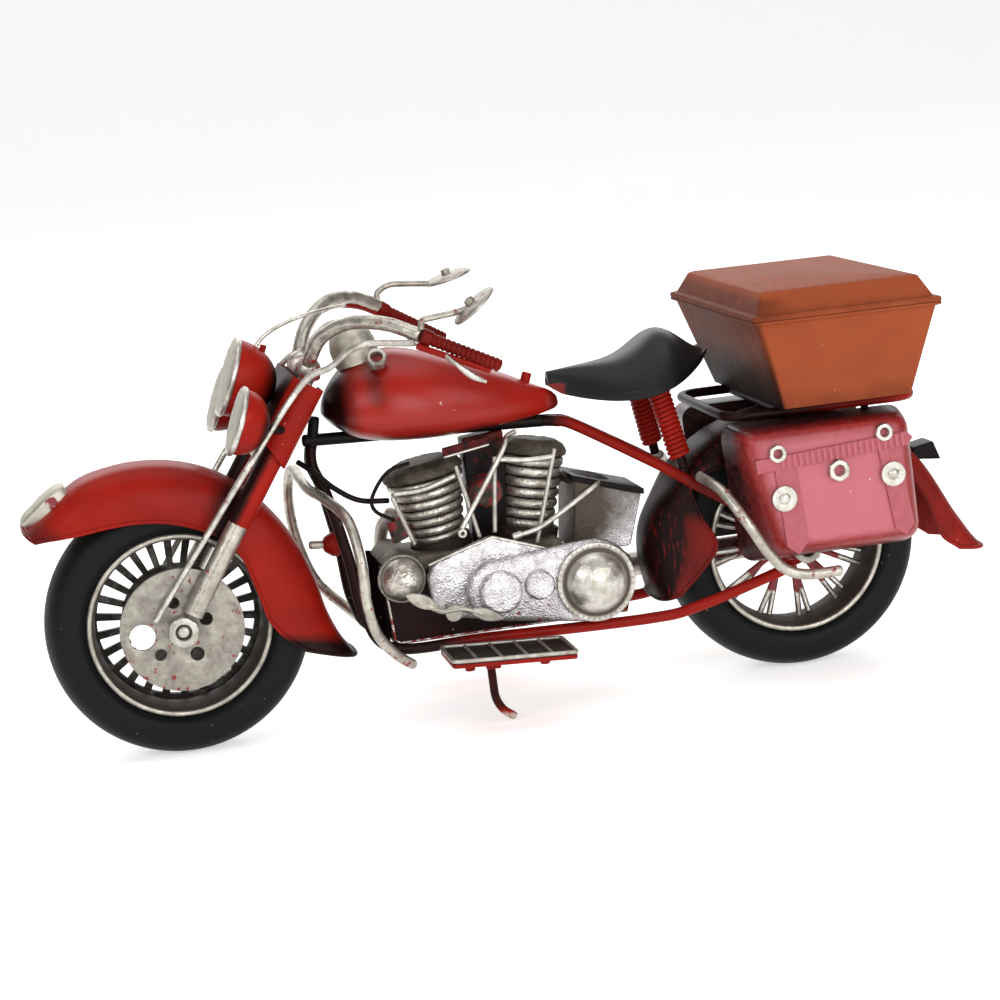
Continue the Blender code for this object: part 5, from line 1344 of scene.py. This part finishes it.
# Painted shade under the top box darkens the rack, except near its rear left corner.
make("luggage_rack_wire", rack, RED, "root", ["luggage_rack"],
     shade_and_wash=lambda x, y, z: 0.95 - 0.75 * fade(x, 190, 215) * fade(y, -20, -28))
struts = [bent_wire([(213, 24 * sign, 84.0), (213.4, 23.4 * sign, 81.0), (212, 21 * sign, 78.0)], 1.2, 12)
          for _, sign in both_sides()]
make("rack_struts", joined(*struts), BLACK, "root")


# %% Saddlebags
BAG_SECTIONS = [(22.0, 0.0, 167.4, 225.6, 227.6, 171.2), (30.0, 0.1, 167.8, 223.8, 225.8, 174.2),
                (36.4, 0.4, 168.0, 222.4, 224.4, 176.4), (39.0, 0.9, 168.0, 221.6, 223.5, 177.4),
                (40.4, 1.9, 168.1, 221.2, 223.2, 177.8), (41.1, 3.4, 168.2, 221.0, 223.0, 178.0),
                (41.2, 5.2, 168.2, 221.0, 223.0, 178.0), (41.22, 8.5, 168.2, 221.0, 223.0, 178.0),
                (41.24, 12.5, 168.2, 221.0, 223.0, 178.0), (41.25, 16.0, 168.2, 221.0, 223.0, 178.0)]
STRAP_FACE = 41.2
STRAP_RIBS = 21


def saddlebag(sign):
    """Four-cornered sections from the wheel outward; each is drawn in a little more and rounded."""
    rings = []
    for y, inset, x0, x1, x2, x3 in BAG_SECTIONS:
        low = 38.6 + (y - 22.0) * 0.25
        ring = softened([(x0 + inset, 81.8 - inset), (x1 - inset, 81.8 - inset), (x2 - inset, low + inset),
                         (x3 + inset, low + inset)], max(5.4 - 0.3 * inset, 1.2), steps=9)
        rings.append(np.column_stack([ring[:, 0], np.full(len(ring), y * sign), ring[:, 1]]))
    return skin(np.stack(rings))


def bag_painted_sheen(x, y, z):
    """Painted sheen in the middle of the face: a product of smooth steps in from all four sides."""
    across = fade(x - 0.22 * (81 - z), 169.5, 177) * fade(x, 222, 215)
    return across * fade(z, 43, 50) * fade(z, 80, 74) * fade(np.abs(y), 40.6, 41.1)


def bag_painted_shade(x, y, z):
    """Painted shade towards the wheel, down the front edge and along the top's outer corner."""
    return (0.55 * fade(np.abs(y), 38, 26) + 0.35 * fade(x - 0.25 * (81.8 - z), 170, 167.6)
            + 0.5 * fade(np.abs(y), 41.0, 39.6) * fade(z, 79.2, 81.8))


def strap(points, width, sign, thick=0.9):
    """A raised strip: its two edges lie half its width to each side of its line, in the face's plane."""
    line = np.asarray(points, float)
    ahead = unit(line[1] - line[0])
    across = np.array((-ahead[1], ahead[0])) * width / 2
    outline = np.array([line[0] + across, line[1] + across, line[1] + ahead * width * 0.45, line[1] - across,
                        line[0] - across])
    face = STRAP_FACE * sign
    low, high = sorted((face - 0.4 * sign, face + thick * sign))
    return plate(outline, low, high, 0.25)


def bag_trim(sign):
    """Straps in the face's plane: two upright ones with pointed tips, one level one with ribs."""
    level_start, level_stop = np.array((172.4, 71.0)), np.array((221.6, 74.4))
    ahead = unit(level_stop - level_start)
    strips = [strap([(181.2, 71.0), (183.4, 46.2)], 6.6, sign),
              strap([(213.4, 74.0), (217.4, 47.6)], 6.2, sign),
              strap([level_start, level_stop - ahead * 1.8], 4.2, sign, 1.1)]
    half_rib, out = np.array((-ahead[1], ahead[0])) * 2.0, (STRAP_FACE + 1.15) * sign
    ribs = []
    for spot in level_start + ahead * np.linspace(8, 46, STRAP_RIBS)[:, None]:
        (x0, z0), (x1, z1) = spot - half_rib, spot + half_rib
        ribs.append(tube([(x0, out, z0), (x1, out, z1)], 0.5, 8, round_end=0))
    return joined(*strips), joined(*ribs)


BAG_NUTS = [(179.0, 74.6, 5.0, 0.1), (212.5, 77.0, 5.0, 0.3), (197.7, 67.2, 6.0, 0.0)]
BAG_WASHERS = [(180.2, 60.8, 3.9), (214.6, 64.0, 3.8)]
for side, sign in both_sides():
    outward = np.array((0.0, sign, 0.0))
    # Each bag carries black painted shade and a pink painted sheen.
    make(f"saddlebag_pressing_{side}", saddlebag(sign), BAG_RED, "root", [f"saddlebag_{side}"],
         shade_and_wash=bag_painted_shade, tint=bag_painted_sheen)
    strips, ribs = bag_trim(sign)
    # The straps carry the pink painted sheen, strongest on the raised ribs.
    make(f"saddlebag_straps_{side}", strips, BAG_RED, "root", tint=0.5, shade_and_wash=0.24, crease=30)
    make(f"saddlebag_strap_ribs_{side}", ribs, BAG_RED, "root", tint=0.9)
    trim = [nut((x, STRAP_FACE * sign, z), outward, flats, 2.4, flats * 0.27, turn)
            for x, z, flats, turn in BAG_NUTS]
    for x, z, radius in BAG_WASHERS:
        ring = turned(softened([(1.6, 1.9), (radius, 1.9), (radius, 0.6), (1.6, 0.6)], 0.3),
                      (x, STRAP_FACE * sign, z), outward, 40, loop=True)
        stub = turned(dome(1.9, 2.7, 1.4, 8), (x, STRAP_FACE * sign, z), outward, 24)
        trim += [ring, stub]
    make(f"saddlebag_hardware_{side}", joined(*trim), BRIGHT, "root", shade_and_wash=0.1, tint=0.02)
print("bags:", len(BAG_SECTIONS), "sections,", len(BAG_NUTS), "nuts each")


# %% [markdown]
# ## Top box
# A tapered tin box on the rack, wider at the rim, with a rolled flange; a hipped lid with a flat
# top shuts on a second flange. Both are thin shells, so the inside shows when the lid swings up.
# The brown enamel carries black painted shade on the front face and on the lid's slopes, and a
# painted highlight on the middle of the lid's flat top.

# %% Box and lid
BOX_RIM = (173.5, 232.4, 46.6, 114.6)
BOX_BASE = (183.4, 224.3, 36.5, 86.6)
LID_TOP = (178.7, 227.3, 39.9, 122.9)


def box_ring(x0, x1, half, z, corner):
    """One level of a box: a rectangle with small round corners."""
    plan = rounded_rectangle(x0, x1, -half, half, corner, 5)
    filled = [np.linspace(a, b, 44, endpoint=False) if np.linalg.norm(b - a) > 5 else a[None]
              for a, b in zip(plan, np.roll(plan, -1, axis=0))]
    plan = np.vstack(filled)
    return np.column_stack([plan, np.full(len(plan), z)])


def tin_box(levels, wall=0.8):
    """Nested skins: up the outside, over the lip and down the inside, which ends in a floor."""
    outside = [box_ring(x0, x1, half, z, corner) for x0, x1, half, z, corner in levels]
    step = wall if levels[-1][3] > levels[0][3] else -wall
    inside = [box_ring(x0 + wall, x1 - wall, half - wall, max(z, levels[0][3] + step) if step > 0 else
                       min(z, levels[0][3] + step), corner) for x0, x1, half, z, corner in levels[::-1]]
    return skin(np.stack(outside + inside))


def between(low, high, t):
    """A level between two rectangles, as their weighted mean."""
    return tuple(a + (b - a) * t for a, b in zip(low, high))


rim_x0, rim_x1, rim_half, rim_z = BOX_RIM
under_rim = (rim_x0 + 1.6, rim_x1 - 1.6, rim_half - 1.6, rim_z - 1.3)
box_levels = [(*between(BOX_BASE, under_rim, t), 0.9) for t in (0, 0.02, 0.33, 0.66, 0.985, 1.0)]
box_levels += [(rim_x0 + 0.3, rim_x1 - 0.3, rim_half - 0.3, rim_z - 0.85, 1.0), (rim_x0, rim_x1, rim_half,
                                                                             rim_z - 0.5, 1.1),
               (rim_x0 + 0.15, rim_x1 - 0.15, rim_half - 0.15, rim_z - 0.05, 1.1)]
lid_rim = (rim_x0 + 2.0, rim_x1 - 2.0, rim_half - 2.0, rim_z + 1.9)
lid_levels = [(LID_TOP[0] + 1.2, LID_TOP[1] - 1.2, LID_TOP[2] - 1.2, LID_TOP[3], 0.8),
              (LID_TOP[0] + 0.3, LID_TOP[1] - 0.3, LID_TOP[2] - 0.3, LID_TOP[3] - 0.25, 0.9)]
lid_levels += [(*between(LID_TOP, lid_rim, t), 0.9) for t in (0.08, 0.5, 0.97, 1.0)]
lid_levels += [(rim_x0 + 0.3, rim_x1 - 0.3, rim_half - 0.3, rim_z + 1.55, 1.0),
               (rim_x0, rim_x1, rim_half, rim_z + 0.8, 1.1), (rim_x0 + 0.1, rim_x1 - 0.1, rim_half - 0.1,
                                                            rim_z + 0.14, 1.1)]


def box_painted_shade(x, y, z):
    """Painted shade: front face near black, darkest low down beside the near corner; a trace along the base.
    """
    front = fade(x - (183.4 - (z - 86.6) * 0.3), 1.6, 0.5)
    return np.maximum(0.78 * front * (0.55 + 0.45 * fade(z, 108, 92)), 0.3 * fade(z, 88.6, 86.8))


def lid_painted_shade(x, y, z):
    """Painted shade: slopes darker than the flat top, and the edges of the top lined with it."""
    slope = 0.42 * fade(z, 122.5, 121.0) * fade(x, 190, 176)
    return np.maximum(slope, 0.2 * fade(z, 118, 116.4))


def lid_painted_highlight(x, y, z):
    """A painted highlight: a paler patch in the middle of the lid's flat top."""
    return 0.42 * fade(z, 122.2, 122.8) * np.exp(-((x - 205) / 15) ** 2 - ((y + 4) / 22) ** 2)


# The box carries black painted shade; the lid carries painted shade on its slopes and a painted highlight on
# its top.
make("top_box_shell", tin_box(box_levels), TAN, "root", ["top_box"], shade_and_wash=box_painted_shade, crease=28)
make("box_lid_shell", tin_box(lid_levels), TAN, "box_lid", ["box_lid"], shade_and_wash=lid_painted_shade, tint=lid_painted_highlight,
     crease=28)
print("box levels:", len(box_levels), "lid levels:", len(lid_levels))

# %% [markdown]
# ## Studio
# The floor is one pale strip that lies flat under the model and curves up behind it, which hides
# the corner. It is staging, not part of the object. Three large soft lamps on the camera's side,
# one overhead and one behind draw wide, mild highlights along the tank and the tubes.

# %% Floor and light
def backdrop():
    """Profile: flat floor, a quarter circle, then a wall; carried across a width of eight metres."""
    bend = np.linspace(-np.pi / 2, 0, 16)
    y = np.concatenate([[-4000.0], 2200 + 900 * np.cos(bend), [3100.0]])
    z = np.concatenate([[0.0], 900 + 900 * np.sin(bend), [4500.0]])
    x = np.array([-4200.0, 4200.0])
    return np.stack(np.broadcast_arrays(x[None, :], y[:, None], z[:, None]), axis=-1)


floor_mesh = bpy.data.meshes.new("studio_floor")
floor_grid = backdrop()
floor_mesh.from_pydata(in_frame(floor_grid.reshape(-1, 3)).tolist(), [], quads(*floor_grid.shape[:2]))
floor_mesh.shade_smooth()
paper, _, paper_shader = new_finish("studio_paper")
paper_shader.inputs["Base Color"].default_value = linear("#F4F4F2")
paper_shader.inputs["Roughness"].default_value = 0.9
paper_shader.inputs["Specular IOR Level"].default_value = 0.1
paper_shader.inputs["Emission Color"].default_value = linear("#FFFFFF")
paper_shader.inputs["Emission Strength"].default_value = 0.5
floor_mesh.materials.append(paper)
studio_floor = bpy.data.objects.new("studio_floor", floor_mesh)
bpy.context.scene.collection.objects.link(studio_floor)


def soft_lamp(name, place, power, width, height, aim=(100.0, 0.0, 60.0)):
    """A rectangular area lamp that faces the bike."""
    data = bpy.data.lights.new(name, "AREA")
    data.shape, data.size, data.size_y, data.energy = "RECTANGLE", width, height, power
    lamp_object = bpy.data.objects.new(name, data)
    lamp_object.location = in_frame(place)
    direction = Vector(in_frame(aim)) - lamp_object.location
    lamp_object.rotation_euler = direction.to_track_quat("-Z", "Y").to_euler()
    bpy.context.scene.collection.objects.link(lamp_object)
    return lamp_object


soft_lamp("key_left", (-620, -900, 620), 4.6, 0.7, 0.5)
soft_lamp("front_panel", (260, -1050, 330), 3.2, 0.5, 0.4)
soft_lamp("fill_right", (760, -900, 520), 3.2, 0.7, 0.5)
soft_lamp("overhead", (100, -60, 1500), 11.0, 1.6, 1.3)
soft_lamp("rim_back", (260, 1100, 700), 5.0, 1.4, 0.6)
world = bpy.data.worlds.new("studio_air")
world.use_nodes = True
sky = world.node_tree.nodes["Background"]
sky.inputs["Color"].default_value = linear("#FFFFFF")
sky.inputs["Strength"].default_value = 0.2
bpy.context.scene.world = world
bpy.context.scene.view_settings.view_transform = "Standard"
